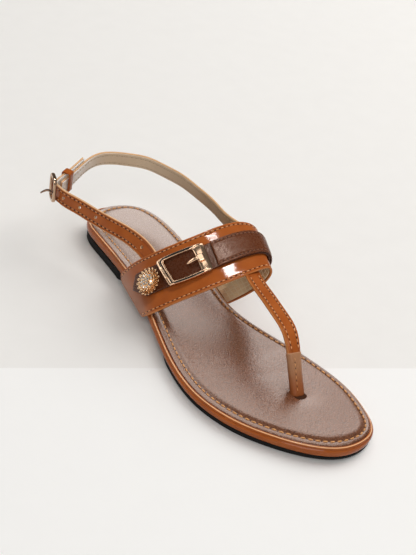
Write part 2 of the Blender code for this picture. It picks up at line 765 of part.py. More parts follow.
def make_ankle_buckle(collection):
    """Rounded rectangular wire frame that stands upright on the outside of the sling."""
    corner = np.radians(np.arange(0, 91, 22.5))
    long_half = FRAME_LENGTH / 2 - FRAME_WIRE - FRAME_CORNER
    tall_half = FRAME_HEIGHT / 2 - FRAME_WIRE - FRAME_CORNER
    along, up = [], []
    for quarter in range(4):
        angle = corner + quarter * math.pi / 2
        side = np.sign([math.cos(angle[2]), math.sin(angle[2])])
        along += list(side[0] * long_half + FRAME_CORNER * np.cos(angle))
        up += list(side[1] * tall_half + FRAME_CORNER * np.sin(angle))
    turn = math.radians(FRAME_TURN)
    across_x, across_s, middle_height = FRAME_MIDDLE
    along = np.array(along)
    route = np.column_stack(
        [
            across_x - along * math.sin(turn),
            across_s + along * math.cos(turn),
            middle_height + np.array(up),
        ]
    )
    mesh = tube_mesh("ankle_buckle", route, FRAME_WIRE, closed=True)
    return new_object("ankle_buckle", mesh, ROSE_GOLD, collection)


def make_ankle_prong(collection):
    """The sling buckle's tongue, which lies over the frame and points outwards."""
    across, station, height = path_through(*TONGUE.values(), spacing=1.2)
    route = np.column_stack([across, station, height])
    mesh = tube_mesh("ankle_prong", route, TONGUE_RADIUS, closed=False)
    return new_object("ankle_prong", mesh, ROSE_GOLD, collection)


def make_ankle_keeper(collection):
    """Leather loop that holds the sling's tip against the long strap."""
    two_straps = 2 * SLING_WALL - SEWN_OVERLAP
    spot = beside_long_sling(LONG_ROUTE, KEEPER_ACROSS, (SLING_WALL - SEWN_OVERLAP) / 2)
    centre = spot["middle"] + spot["width"] * TIP_RISE / 2
    loops = []
    for grow, end in ((0, -1), (KEEPER_WALL, -1), (KEEPER_WALL, 1), (0, 1), (0, -1)):
        room = 2 * (KEEPER_ROOM + grow)
        tall, deep = rectangle_loop(SLING_WIDTH + TIP_RISE + room, two_straps + room, 4)
        middle = centre + spot["along"] * end * KEEPER_LENGTH / 2
        loops.append(middle + tall[:, None] * spot["width"] + deep[:, None] * spot["face"])
    mesh = grid_mesh("ankle_keeper", np.array(loops), ring=True)
    return new_object("ankle_keeper", mesh, TAN_PATENT, collection)


def stand_on_origin(parts, holder):
    """Moves the shoe so that the origin is under the middle of its box, on the floor."""
    bpy.context.view_layer.update()
    graph = bpy.context.evaluated_depsgraph_get()
    corners = []
    for part in parts:
        seen = part.evaluated_get(graph)
        corners += [seen.matrix_world @ Vector(corner) for corner in seen.bound_box]
    corners = np.array(corners)
    low, high = corners.min(axis=0), corners.max(axis=0)
    holder.location = (-(low[0] + high[0]) / 2, -(low[1] + high[1]) / 2, -low[2])


def main():
    for obj in list(bpy.data.objects):
        bpy.data.objects.remove(obj)
    sandal = bpy.data.collections.new("toe_post_sandal")
    joined = bpy.data.collections.new("sewn_straps")
    for collection in (sandal, joined):
        bpy.context.scene.collection.children.link(collection)
    holder = bpy.data.objects.new("sandal_origin", None)
    sandal.objects.link(holder)
    parts = [
        make_outsole(sandal),
        make_midsole(sandal),
        make_insole(sandal),
        make_upper(sandal, joined),
        make_overlay(sandal),
        make_fold(sandal),
        make_vamp_buckle(sandal),
        make_vamp_prong(sandal),
        make_rosette(sandal),
        make_ankle_buckle(sandal),
        make_ankle_prong(sandal),
        make_ankle_keeper(sandal),
    ]
    for obj in parts + list(joined.objects):
        obj.parent = holder
    stand_on_origin(parts, holder)


main()
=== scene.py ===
"""Looks of a toe post sandal for the right foot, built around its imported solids.

Sizes are millimetres in the shoe's own directions: across (towards the medial side), station
(forwards from the back of the heel) and height above the floor. Lifts are measured off a face.
"""

import math

import bmesh
import bpy
import numpy as np
from mathutils import Matrix, Vector


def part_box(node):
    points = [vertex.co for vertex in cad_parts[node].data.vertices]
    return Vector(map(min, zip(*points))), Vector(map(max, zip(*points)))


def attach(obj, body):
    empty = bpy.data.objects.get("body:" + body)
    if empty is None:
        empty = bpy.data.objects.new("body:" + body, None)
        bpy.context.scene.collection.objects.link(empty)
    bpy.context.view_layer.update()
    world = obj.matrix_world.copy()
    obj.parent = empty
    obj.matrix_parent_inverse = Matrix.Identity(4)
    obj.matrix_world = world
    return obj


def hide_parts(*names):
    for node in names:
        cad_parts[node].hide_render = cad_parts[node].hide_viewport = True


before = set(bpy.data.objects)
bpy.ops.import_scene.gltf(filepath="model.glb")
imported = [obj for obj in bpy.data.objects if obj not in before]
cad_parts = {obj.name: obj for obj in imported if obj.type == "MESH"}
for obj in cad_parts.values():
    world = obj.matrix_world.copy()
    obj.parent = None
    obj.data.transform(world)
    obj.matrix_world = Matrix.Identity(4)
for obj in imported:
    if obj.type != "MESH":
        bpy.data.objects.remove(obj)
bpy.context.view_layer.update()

# Outsole
# Black moulded rubber in one piece with its low heel, with a knurled side and a shallow tread.
# It is cemented under the wrapped midsole, and stands on the floor at the heel and at the ball.
SOLE_LENGTH = 250.0
RIM_POINTS = 480
HEEL_END = 60.0
BALL_START = 165.0
SPRING_START = 185.0
RIM_SIZES = (13.1, 7.9, 1.7)
RUBBER_SIZES = (5.9, 2.4, 1.0)
TOE_LIFT = 1.6
TOE_LIFT_START = 206.0
ARCH_LIFT = 2.6
ARCH_STATIONS = (60.0, 70.0, 118.0, 148.0)
RUBBER_INSET = -0.4
WAIST_INSET = 3.6
RUBBER_CHAMFER = 0.9
TREAD_MARGIN = 0.9
TREAD_STEP = 0.35
TREAD_RINGS = 8
CHEVRON_PITCH = 5.0
CHEVRON_SLANT = 0.45
KNURL_PITCH = 1.1
WELD = 2e-6


def table(columns, *rows):
    """Named columns from rows of sizes."""
    return dict(zip(columns.split(), np.array(rows).T))


SOLE_PLAN = table(
    "station lateral medial",
    (0, 0.0, 0.0),
    (5, -14.5, 16.2),
    (15, -21.0, 22.6),
    (30, -22.8, 25.0),
    (50, -23.8, 24.4),
    (70, -25.5, 22.4),
    (95, -28.9, 18.3),
    (120, -34.7, 16.1),
    (145, -41.0, 21.8),
    (165, -44.5, 28.4),
    (180, -45.1, 32.2),
    (195, -42.7, 34.9),
    (210, -37.3, 35.3),
    (225, -28.2, 32.6),
    (240, -15.3, 26.7),
    (250, 5.7, 5.7),
)


def natural_spline(knots, values, at):
    """Natural cubic curve through values at the knots, read at the places in at."""
    step = np.diff(knots)
    count = len(knots)
    system = np.eye(count)
    target = np.zeros(count)
    for i in range(1, count - 1):
        system[i, i - 1 : i + 2] = step[i - 1], 2 * (step[i - 1] + step[i]), step[i]
        slopes = np.diff(values[i - 1 : i + 2]) / step[i - 1 : i + 1]
        target[i] = 6 * (slopes[1] - slopes[0])
    bend = np.linalg.solve(system, target)
    i = np.clip(np.searchsorted(knots, at) - 1, 0, count - 2)
    ahead = knots[i + 1] - at
    behind = at - knots[i]
    cubic = (bend[i] * ahead**3 + bend[i + 1] * behind**3) / (6 * step[i])
    low = (values[i] / step[i] - bend[i] * step[i] / 6) * ahead
    high = (values[i + 1] / step[i] - bend[i + 1] * step[i] / 6) * behind
    return cubic + low + high


def smooth_step(value, start, end):
    """0 before start, 1 after end, and 3t^2 - 2t^3 between them."""
    share = np.clip((value - start) / (end - start), 0, 1)
    return share * share * (3 - 2 * share)


def sole_height(station, sizes):
    """A height that steps down from the heel to the ball and springs up as a square at the toe."""
    at_heel, at_ball, toe_spring = sizes
    fall = smooth_step(station, HEEL_END, BALL_START)
    spring = np.clip((station - SPRING_START) / (SOLE_LENGTH - SPRING_START), 0, None)
    return at_heel + (at_ball - at_heel) * fall + toe_spring * spring**2


def rim_height(station):
    """Height of the sole's top edge."""
    return sole_height(station, RIM_SIZES)


def rubber_height(station):
    """Height of the rubber's top edge."""
    return sole_height(station, RUBBER_SIZES)


def waist_share(station):
    """1 under the arch, 0 on the heel and the ball."""
    breast, arch_start, arch_end, ball = ARCH_STATIONS
    return smooth_step(station, breast, arch_start) - smooth_step(station, arch_end, ball)


def ground_height(station):
    """The underside: flat under heel and ball, raised under the arch and curling up at the toe."""
    lift = np.clip((station - TOE_LIFT_START) / (SOLE_LENGTH - TOE_LIFT_START), 0, None)
    return ARCH_LIFT * waist_share(station) + TOE_LIFT * lift**2


def full_turn(count):
    """Angles of a full turn in even steps, from 0."""
    return np.linspace(0, 2 * math.pi, count, endpoint=False)


def unit(vectors):
    """Vectors drawn to a length of 1."""
    return vectors / np.linalg.norm(vectors, axis=-1, keepdims=True)


def rim_plan():
    """The sole's top edge in plan, read at even turns from the heel, and its outward directions."""
    turn = full_turn(RIM_POINTS)
    angle = np.where(turn <= math.pi, turn, 2 * math.pi - turn)
    knots = np.arccos(1 - 2 * SOLE_PLAN["station"] / SOLE_LENGTH)
    medial = natural_spline(knots, SOLE_PLAN["medial"], angle)
    lateral = natural_spline(knots, SOLE_PLAN["lateral"], angle)
    across = np.where(turn <= math.pi, medial, lateral)
    plan = np.column_stack([across, SOLE_LENGTH / 2 * (1 - np.cos(angle))])
    along = np.roll(plan, -1, axis=0) - np.roll(plan, 1, axis=0)
    outward = np.column_stack([along[:, 1], -along[:, 0]])
    return plan, unit(outward)


RIM, RIM_OUTWARD = rim_plan()


def edge_ring(offset, height):
    """The rim moved outwards by offset, at a height worked out from each point's station."""
    plan = RIM + RIM_OUTWARD * np.reshape(offset, (-1, 1))
    return np.column_stack([plan, height(plan[:, 1])])


def shrunk_ring(ring, share, height):
    """A ring drawn in across the foot to a share of its width about its own middle line."""
    opposite = np.roll(ring[::-1], 1, axis=0)
    middle = (ring[:, :2] + opposite[:, :2]) / 2
    plan = middle + (ring[:, :2] - middle) * share
    return np.column_stack([plan, height(plan[:, 1])])


def line_length(points):
    """Length along a line of points at each of them."""
    return np.concatenate([[0], np.cumsum(np.linalg.norm(np.diff(points, axis=0), axis=1))])


RIM_LENGTH = line_length(np.concatenate([RIM, RIM[:1]]))

# The midsole's box places the shoe: it is as wide as the bulge of its side, and as long both ways.
RAND_BULGE = 1.2
midsole_low, midsole_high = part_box("midsole")
side_low = edge_ring(RAND_BULGE, rim_height)[:, 0].min() * 0.001
shoe_place = np.array([midsole_low.x - side_low, (midsole_low.y + midsole_high.y) / 2, 0])


def place(points):
    """Millimetres in the shoe's directions as metres in the row's frame, with the toe towards -Y."""
    metres = np.stack([points[..., 0], SOLE_LENGTH / 2 - points[..., 1], points[..., 2]], -1) * 0.001
    return metres + shoe_place


def surface(name, grid, uv=None, ring=False, slots=None, faceted=False):
    """A mesh over grids of points in millimetres, with one quad between each four neighbours.

    The last axes are rows, columns and the point; a leading axis holds many like shapes. With ring
    each row closes on itself, and uv has one more column. Rows that shrink to a point or line close.
    """
    grid = grid.reshape(-1, *grid.shape[-3:])
    count, rows, columns = grid.shape[:3]
    index = np.arange(count * rows * columns).reshape(count, rows, columns)
    if ring:
        index = np.concatenate([index, index[..., :1]], -1)

    def corners(values):
        near, far = values[:, :-1], values[:, 1:]
        return np.stack([near[:, :, :-1], near[:, :, 1:], far[:, :, 1:], far[:, :, :-1]], 3)

    mesh = bpy.data.meshes.new(name)
    mesh.from_pydata(place(grid).reshape(-1, 3).tolist(), [], corners(index).reshape(-1, 4).tolist())
    if uv is not None:
        layer = mesh.uv_layers.new(name="millimetres")
        layer.data.foreach_set("uv", corners(uv.reshape(count, rows, -1, 2)).ravel())
    if slots is not None:
        mesh.polygons.foreach_set("material_index", slots.ravel())
    shell = bmesh.new()
    shell.from_mesh(mesh)
    bmesh.ops.remove_doubles(shell, verts=shell.verts, dist=WELD)
    bmesh.ops.recalc_face_normals(shell, faces=shell.faces)
    shell.to_mesh(mesh)
    shell.free()
    if not faceted:
        mesh.shade_smooth()
    piece = bpy.data.objects.new(name, mesh)
    bpy.context.scene.collection.objects.link(piece)
    return piece


def fasten(piece, slot, nodes, *finishes):
    """Gives a piece its finishes and ties it to the sandal, in place of the solids it stands for."""
    for finish in finishes:
        piece.data.materials.append(finish.material)
    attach(piece, "root")
    if nodes:
        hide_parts(*nodes)
    return piece


class Value:
    """A shader socket that can stand in a sum: each operator adds one Math node."""

    def __init__(self, finish, socket):
        self.finish = finish
        self.socket = socket

    def math(self, operation, *others):
        return self.finish.math(operation, self, *others)

    def __add__(self, other):
        return self.math("ADD", other)

    def __sub__(self, other):
        return self.math("SUBTRACT", other)

    def __rsub__(self, other):
        return self.finish.math("SUBTRACT", other, self)

    def __mul__(self, other):
        return self.math("MULTIPLY", other)

    def __truediv__(self, other):
        return self.math("DIVIDE", other)

    def __abs__(self):
        return self.math("ABSOLUTE")

    def clear_of(self, start, end):
        """0 up to start and 1 from end, eased between them. A start above end falls instead."""
        sockets = {"Value": self, "From Min": start, "From Max": end}
        return self.finish.node("ShaderNodeMapRange", {"interpolation_type": "SMOOTHSTEP"}, sockets)

    __radd__ = __add__
    __rmul__ = __mul__


class Finish:
    """A material with the nodes that paint it, on one Principled shader."""

    def __init__(self, name, **constants):
        self.material = bpy.data.materials.new(name)
        self.material.use_nodes = True
        self.tree = self.material.node_tree
        self.shader = self.tree.nodes["Principled BSDF"]
        self.feed(self.shader, {key.replace("_", " "): value for key, value in constants.items()})

    def feed(self, node, sockets):
        for key, value in sockets.items():
            if isinstance(value, Value):
                self.tree.links.new(value.socket, node.inputs[key])
            else:
                node.inputs[key].default_value = value

    def node(self, kind, settings, sockets, output=0):
        """A node of this kind with its settings set first, then its sockets fed."""
        node = self.tree.nodes.new(kind)
        for key, value in settings.items():
            setattr(node, key, value)
        self.feed(node, sockets)
        return Value(self, node.outputs[output])

    def math(self, operation, *values):
        return self.node("ShaderNodeMath", {"operation": operation}, dict(enumerate(values)))

    def paint(self, **sockets):
        self.feed(self.shader, {key.replace("_", " "): value for key, value in sockets.items()})

    def blend(self, share, first, second):
        """A colour that goes from first to second with share."""
        sockets = {0: share, 6: first, 7: second}
        return self.node("ShaderNodeMix", {"data_type": "RGBA"}, sockets, 2)

    def place(self):
        return self.node("ShaderNodeTexCoord", {}, {}, "Object")

    def axis(self, vector, name):
        return self.node("ShaderNodeSeparateXYZ", {}, {"Vector": vector}, name)

    def strip(self):
        """Length along a piece and distance from its nearest edge, in millimetres."""
        uv = self.node("ShaderNodeUVMap", {"uv_map": "millimetres"}, {})
        return self.axis(uv, "X"), self.axis(uv, "Y")

    def noise(self, scale, detail=2.0, rough=0.5):
        sockets = {"Vector": self.place(), "Scale": scale, "Detail": detail, "Roughness": rough}
        return self.node("ShaderNodeTexNoise", {}, sockets)

    def cells(self, scale, feature="F1", output="Distance"):
        sockets = {"Vector": self.place(), "Scale": scale}
        return self.node("ShaderNodeTexVoronoi", {"feature": feature}, sockets, output)

    def bump(self, height, depth):
        """Relief of a height from 0 to 1 that is depth millimetres deep."""
        sockets = {"Height": height, "Distance": depth * 0.001, "Strength": 1.0}
        self.paint(Normal=self.node("ShaderNodeBump", {}, sockets))


def rubber_finish():
    """Matt black rubber with a fine knurl of crossed waves on its side."""
    rubber = Finish("black_rubber", Specular_IOR_Level=0.2)
    along, up = rubber.strip()
    turn = 2 * math.pi / KNURL_PITCH
    knurl = ((along + up) * turn).math("SINE") * ((along - up) * turn).math("SINE")
    dust = rubber.noise(160.0, 4.0)
    rubber.paint(Base_Color=rubber.blend(dust, (0.005, 0.005, 0.0055, 1), (0.012, 0.012, 0.012, 1)))
    rubber.paint(Roughness=dust * 0.25 + 0.6)
    rubber.bump(knurl * 0.4 + dust * 0.3, 0.12)
    return rubber


def tread_finish():
    """The underside: rows of shallow chevrons, 5 mm apart, in matt black rubber, painted darker in their
    grooves as painted shade.
    """
    tread = Finish("rubber_tread", IOR=1.5)
    spot = tread.place()
    slant = abs(tread.axis(spot, "X") - float(shoe_place[0])) * CHEVRON_SLANT
    wave = ((tread.axis(spot, "Y") + slant) / (CHEVRON_PITCH * 0.001)).math("FRACT")
    groove = abs(wave - 0.5).clear_of(0.14, 0.22)
    dust = tread.noise(220.0, 4.0)
    # Painted shade: the chevron grooves are painted darker, and the dust noise varies the tone on the ridges
    # between them
    tread.paint(Base_Color=tread.blend(dust * groove, (0.007, 0.007, 0.008, 1), (0.03, 0.03, 0.03, 1)))
    tread.paint(Roughness=dust * 0.2 + 0.6)
    tread.bump(groove + dust * 0.08, 0.5)
    return tread


def make_outsole():
    """Rings from the middle of the tread out to the foot, up the side and back over the top."""
    inset = -(RUBBER_INSET + WAIST_INSET * waist_share(RIM[:, 1]))

    def tread(station):
        return ground_height(station) + TREAD_STEP

    def up_side(share):
        def height(station):
            low = ground_height(station) + RUBBER_CHAMFER
            return low + (rubber_height(station) - low) * share

        return height

    soft = 0.3 * RUBBER_CHAMFER
    foot = edge_ring(inset - RUBBER_CHAMFER, ground_height)
    rings = [shrunk_ring(foot, share, tread) for share in np.linspace(0, TREAD_MARGIN, TREAD_RINGS)]
    rings += [shrunk_ring(foot, TREAD_MARGIN + 0.01, ground_height), foot]
    rings.append(edge_ring(inset - soft, lambda station: ground_height(station) + soft))
    rings += [edge_ring(inset, up_side(share)) for share in np.linspace(0, 1, 5)]
    top = rings[-1]
    rings += [shrunk_ring(top, share, rubber_height) for share in (0.6, 0)]
    grid = np.array(rings)
    around = np.tile(RIM_LENGTH, (len(rings), 1))
    up = np.column_stack([grid[..., 2], grid[:, :1, 2]])
    slots = np.zeros((len(rings) - 1, RIM_POINTS), int)
    slots[: TREAD_RINGS + 1] = 1
    return surface("outsole_rubber", grid, np.stack([around, up], -1), ring=True, slots=slots)


fasten(make_outsole(), "black_rubber", ["outsole"], rubber_finish(), tread_finish())

# Midsole
# A board wrapped in tan patent leather, drawn tight over its side. A corded bead runs along the
# top edge, and the insole is set down inside it.
MIDSOLE_SIDE = table(
    "offset rise drop crest",
    (-1.2, 0.00, 0.00, 9.0),
    (0.10, 0.01, 0.00, 9.0),
    (0.62, 0.08, 0.00, 9.0),
    (1.06, 0.25, 0.00, 9.0),
    (1.20, 0.42, 0.00, 9.0),
    (1.08, 0.60, 0.00, 9.0),
    (0.72, 1.00, 1.75, 9.0),
    (0.50, 1.00, 1.42, 5.0),
    (0.62, 1.00, 1.14, 5.0),
    (0.58, 1.00, 0.80, 3.0),
    (0.36, 1.00, 0.46, 0.6),
    (0.04, 1.00, 0.22, 0.0),
    (-0.34, 1.00, 0.10, 1.2),
    (-0.68, 1.00, 0.16, 5.0),
    (-0.90, 1.00, 0.55, 9.0),
    (-0.98, 1.00, 1.30, 9.0),
    (-1.05, 1.00, 2.20, 9.0),
)
SIDE_RINGS = 61
SEAT_GAP = 0.3
# The bead is sunk where the rim faces the medial side or, with a smaller share, the back of the heel
MEDIAL_TURN = (-0.2, 0.5)
HEEL_SHARE = 0.4
COVERED = smooth_step(RIM_OUTWARD[:, 0] - HEEL_SHARE * RIM_OUTWARD[:, 1], *MEDIAL_TURN)
COVERED_SINK = 0.9
STITCH_INSET = 2.0
TAN = (0.330, 0.078, 0.014, 1)
TAN_WARM = (0.390, 0.102, 0.020, 1)
TAN_GROOVE_SHADE = (0.165, 0.032, 0.007, 1)
TAN_EDGE_AND_HIGHLIGHT = (0.600, 0.225, 0.066, 1)
CUT_EDGE_AND_HIGHLIGHT = (0.860, 0.560, 0.300, 1)
TAN_FLOOR_REFLECTION = (0.430, 0.205, 0.125, 1)


def patent_finish(name, edge_and_highlight_tone, floor_reflection):
    """Tan patent leather: a rippled mirror gloss over a softly mottled dye, sunk along the stitches with
    painted shade.

    The second strip coordinate is the distance from the nearest edge, so the stitch groove and its painted
    shade lie at a fixed distance inside every strap, and its edge takes a paler tone, partly the cut edge's
    colour and partly a painted highlight on the rounded edge. The first 20 mm of a strip can be painted a
    paler grey-pink by a share, a painted reflection of the floor.
    """
    patent = Finish(name, Specular_IOR_Level=0.24)
    along, edge = patent.strip()
    mottle = patent.noise(95.0, 3.0)
    ripple = patent.noise(210.0, 2.0)
    dye = patent.blend(mottle.clear_of(0.3, 0.75), TAN, TAN_WARM)
    # Painted reflection: the first 20 mm of a strip, the band's lateral end, is painted a paler grey-pink
    # where the floor is mirrored
    dye = patent.blend(along.clear_of(20.0, 3.0) * floor_reflection, dye, TAN_FLOOR_REFLECTION)
    # Painted shade: the dye is darkened along the stitch groove
    groove = abs(edge - STITCH_INSET).clear_of(0.8, 0.1)
    dye = patent.blend(groove * 0.4, dye, TAN_GROOVE_SHADE)
    # The paler edge tone is partly the cut edge's colour and partly a painted highlight on the rounded edge
    patent.paint(Base_Color=patent.blend(edge.clear_of(0.75, 0.2) * 0.75, dye, edge_and_highlight_tone))
    patent.paint(Roughness=mottle * 0.06 + 0.08)
    patent.bump(ripple * 0.32 + mottle * 0.4, 0.2)
    return patent


# The band's finish takes the painted floor reflection at its lateral end, and the cut finish takes none
patent = patent_finish("tan_patent", TAN_EDGE_AND_HIGHLIGHT, 0.75)
cut_patent = patent_finish("cut_tan_patent", CUT_EDGE_AND_HIGHLIGHT, 0.0)


def make_midsole():
    """The side's profile carried round the rim: a full curve, a crease, a round bead and the seat.

    On the medial side and behind the heel the bead is sunk, and the insole's edge covers it.
    """
    knots = np.arange(len(MIDSOLE_SIDE["offset"]), dtype=float)
    fine = np.linspace(0, knots[-1], SIDE_RINGS)
    offset, rise, drop, crest = (np.interp(fine, knots, column) for column in MIDSOLE_SIDE.values())
    offset[1:-1] = natural_spline(knots, MIDSOLE_SIDE["offset"], fine)[1:-1]

    def under(station):
        return rubber_height(station) + SEAT_GAP

    def height(number):
        def value(station):
            low = under(station)
            return low + (rim_height(station) - low) * rise[number] - drop[number]

        return value

    side = np.array([edge_ring(offset[number], height(number)) for number in range(len(fine))])
    side[..., 2] -= COVERED_SINK * smooth_step(rise, 0.8, 1.0)[:, None] * COVERED
    seat = height(len(fine) - 1)
    rings = [shrunk_ring(side[0], share, under) for share in (0, 0.5)] + list(side)
    rings += [shrunk_ring(side[-1], share, seat) for share in (0.5, 0)]
    grid = np.array(rings)
    around = np.tile(RIM_LENGTH, (len(rings), 1))
    # The crest column is read as the distance from an edge, so the bead's top takes the paler edge tone,
    # partly a painted highlight
    pale = np.pad(crest, 2, mode="edge")[:, None] + 0 * around
    return surface("midsole_wrap", grid, np.stack([around, pale], -1), ring=True)


midsole = fasten(make_midsole(), "tan_patent", ["midsole"], cut_patent)

# Insole
# A padded footbed of brown pebbled leatherette with a pearly sheen. Its flat margin is sewn down
# all round in orange thread, and the padding swells up inside the seam.
INSOLE_EDGE = table(
    "inside drop",
    (1.90, 1.90),
    (1.42, 1.55),
    (1.36, 1.05),
    (1.56, 0.68),
    (2.10, 0.46),
    (3.00, 0.30),
    (3.95, 0.24),
    (4.60, 0.30),
    (5.00, 0.50),
    (5.50, 0.44),
    (6.30, 0.10),
    (7.30, -0.34),
    (8.40, -0.60),
    (9.60, -0.72),
)
INSOLE_CROWN = 0.55
CROWN_STATIONS = (6.0, 40.0, 205.0, 244.0)
EDGE_RINGS = 49
PADDING_RINGS = 34
MEDIAL_MARGIN = 0.7
COVER_REACH = 0.6
COVER_RISE = 0.4
COVER_FADE = (2.5, 5.0)
SEAM_INSIDE = 5.0
SEAM_DROP = 0.36
SEAM_PITCH = 3.8
SEAM_STITCH = (2.7, 0.46)
SEAM_HOLE = (1.3, 0.5)
STITCH_SINK = 0.16
HOLE_PRESS = 0.3
POST_SPOT = (5.4, 205.5)
POST_DIMPLE = (0.9, 6.5)
BED_CREASES = table(
    "across station turn length width depth",
    (-24.0, 172.0, 24.0, 17.0, 3.2, 0.16),
    (12.0, 166.0, -14.0, 20.0, 3.6, 0.14),
    (-6.0, 182.0, 8.0, 22.0, 4.0, 0.12),
    (-12.0, 62.0, 64.0, 18.0, 4.2, 0.20),
    (-17.0, 44.0, 76.0, 14.0, 3.4, -0.14),
)


def insole_finish():
    """Pebbled leatherette: fine cells under a pearl gloss, painted paler towards the heel as a painted sheen.
    """
    bed = Finish("footbed", IOR=1.95, Specular_Tint=(1.0, 0.86, 0.77, 1))
    station = bed.axis(bed.place(), "Y")
    pebble = bed.cells(1550.0, "SMOOTH_F1")
    crease = bed.noise(1300.0, 3.0, 0.6)
    cloud = bed.noise(42.0, 3.0)
    # Painted sheen: towards the heel the skin is painted a paler pink-brown, a painted reflection of light,
    # and its pits and relief are halved there
    heel_sheen = station.clear_of(-0.01, 0.1)
    front = bed.blend(cloud, (0.195, 0.066, 0.026, 1), (0.245, 0.092, 0.041, 1))
    back = bed.blend(cloud, (0.290, 0.180, 0.133, 1), (0.340, 0.220, 0.168, 1))
    skin = bed.blend(heel_sheen, front, back)
    grain = 1 - heel_sheen * 0.5
    pits = pebble.clear_of(0.3, 0.65) * grain * 0.75
    bed.paint(Base_Color=bed.blend(pits, skin, (0.085, 0.031, 0.016, 1)))
    bed.paint(Roughness=crease.clear_of(0.3, 0.7) * 0.18 + 0.13)
    bed.bump((crease * 0.3 - pebble) * grain, 0.095)
    return bed


def thread_finish(name, light, deep):
    """Twisted sewing thread: two mottled tones, dull and slightly fuzzy."""
    thread = Finish(name, IOR=1.45, Sheen_Weight=0.3)
    twist = thread.noise(2600.0, 1.0)
    thread.paint(Base_Color=thread.blend(twist, light, deep), Roughness=twist * 0.2 + 0.45)
    thread.bump(twist, 0.08)
    return thread


def read_line(values, length, places):
    """Values along a line, read at places that are lengths along it."""
    return np.stack([np.interp(places, length, column) for column in values.T], -1)


def evenly(points, ups, pitch, closed=False):
    """Places a pitch apart along a line of points: middle, direction and up of each stitch."""
    if closed:
        points, ups = (np.concatenate([row, row[:1]]) for row in (points, ups))
    length = line_length(points)
    count = max(2, round(length[-1] / pitch))
    at = (np.arange(count) + 0.5) * length[-1] / count
    nudge = 0.2
    along = read_line(points, length, at + nudge) - read_line(points, length, at - nudge)
    return np.stack([read_line(points, length, at), unit(along), unit(read_line(ups, length, at))], 1)


def between(row):
    """Places half way between the stitches of a row, where the needle went in."""
    return (row[1:] + row[:-1]) / 2


def make_stitches(name, rows, length, radius, arch, flat=1.0):
    """Rows of stitches as one mesh. Each is a thread whose middle line is a low arch.

    At share s of its half length it stands arch * (1 - s^2) proud, and its radius falls as the root
    of 1 - s^4. A flat below 1 presses the section down.
    """
    middle, along, up = np.concatenate(rows).transpose(1, 0, 2)[:, :, None, None]
    side = np.cross(along, up)
    share = np.sin(np.linspace(-1, 1, 7) * math.pi / 2)[None, :, None, None]
    turn = full_turn(6)[:, None]
    thick = radius * np.sqrt(np.clip(1 - share**4, 0, 1))
    line = middle + along * share * length / 2 + up * arch * (1 - share**2)
    return surface(name, line + thick * (side * np.cos(turn) + up * flat * np.sin(turn)), ring=True)


def below_rim(drop):
    """A height that follows the rim, lower by the drop."""
    return lambda station: rim_height(station) - drop


def post_dimple(grid):
    """How deep the padding is drawn down round the toe post, as a bell of its distance."""
    depth, radius = POST_DIMPLE
    apart = (grid[..., 0] - POST_SPOT[0]) ** 2 + (grid[..., 1] - POST_SPOT[1]) ** 2
    return depth * np.exp(-apart / radius**2)


def soft_creases(creases, across, station):
    """Soft troughs, and ridges where the depth is below 0.

    Each has a middle, a turn from straight across in degrees, a half length and half width, and is
    depth * exp(-along^2 - aside^2) deep, with both distances in its own half sizes.
    """
    total = 0.0
    for at_across, at_station, turn, length, width, depth in zip(*creases.values()):
        east, north = across - at_across, station - at_station
        turn = math.radians(turn)
        along = (east * math.cos(turn) + north * math.sin(turn)) / length
        aside = (north * math.cos(turn) - east * math.sin(turn)) / width
        total = total + depth * np.exp(-(along**2) - aside**2)
    return total


def margin_ring(step, drop):
    """A line of the margin, narrower on the medial side. Its edge turns up where it covers the bead."""
    first = min(INSOLE_EDGE["inside"])
    medial = smooth_step(RIM_OUTWARD[:, 0], *MEDIAL_TURN)
    inside = first + (step - first) * (1 - (1 - MEDIAL_MARGIN) * medial) - COVER_REACH * COVERED
    ring = edge_ring(-inside, below_rim(drop))
    ring[:, 2] += COVER_RISE * COVERED * (1 - smooth_step(step, *COVER_FADE))
    return ring


def make_insole():
    """Edge rings in from the rim, then the padding drawn in to the middle line as 1 - share^2."""
    knots = np.arange(len(INSOLE_EDGE["inside"]), dtype=float)
    fine = np.linspace(0, knots[-1], EDGE_RINGS)
    inside = natural_spline(knots, INSOLE_EDGE["inside"], fine)
    drop = natural_spline(knots, INSOLE_EDGE["drop"], fine)
    edge = [margin_ring(step, depth) for step, depth in zip(inside, drop)]
    under = below_rim(drop[0])
    heel_start, heel_full, toe_full, toe_end = CROWN_STATIONS

    def padding(share):
        def height(station):
            ends = smooth_step(station, heel_start, heel_full) - smooth_step(station, toe_full, toe_end)
            return rim_height(station) - drop[-1] + INSOLE_CROWN * ends * (1 - share**2)

        return height

    rings = [shrunk_ring(edge[0], share, under) for share in (0, 0.5)] + edge
    shares = np.linspace(0.97, 0, PADDING_RINGS)
    rings += [shrunk_ring(edge[-1], share, padding(share)) for share in shares]
    grid = np.array(rings)
    top = grid[3:]
    top[..., 2] -= post_dimple(top)
    bed = grid[-PADDING_RINGS:]
    bed[..., 2] -= soft_creases(BED_CREASES, bed[..., 0], bed[..., 1])
    return surface("insole_footbed", grid, ring=True)


insole = fasten(make_insole(), "footbed", ["insole"], insole_finish())
seam = margin_ring(SEAM_INSIDE, SEAM_DROP)
seam_rows = [evenly(seam, np.tile([0.0, 0.0, 1.0], (RIM_POINTS, 1)), SEAM_PITCH, closed=True)]
# Needle holes are dark lozenges laid on the surface, painted shade for the holes
hole_shade = Finish("hole_shade", Roughness=0.8)
hole_shade.paint(Base_Color=(0.030, 0.010, 0.005, 1))


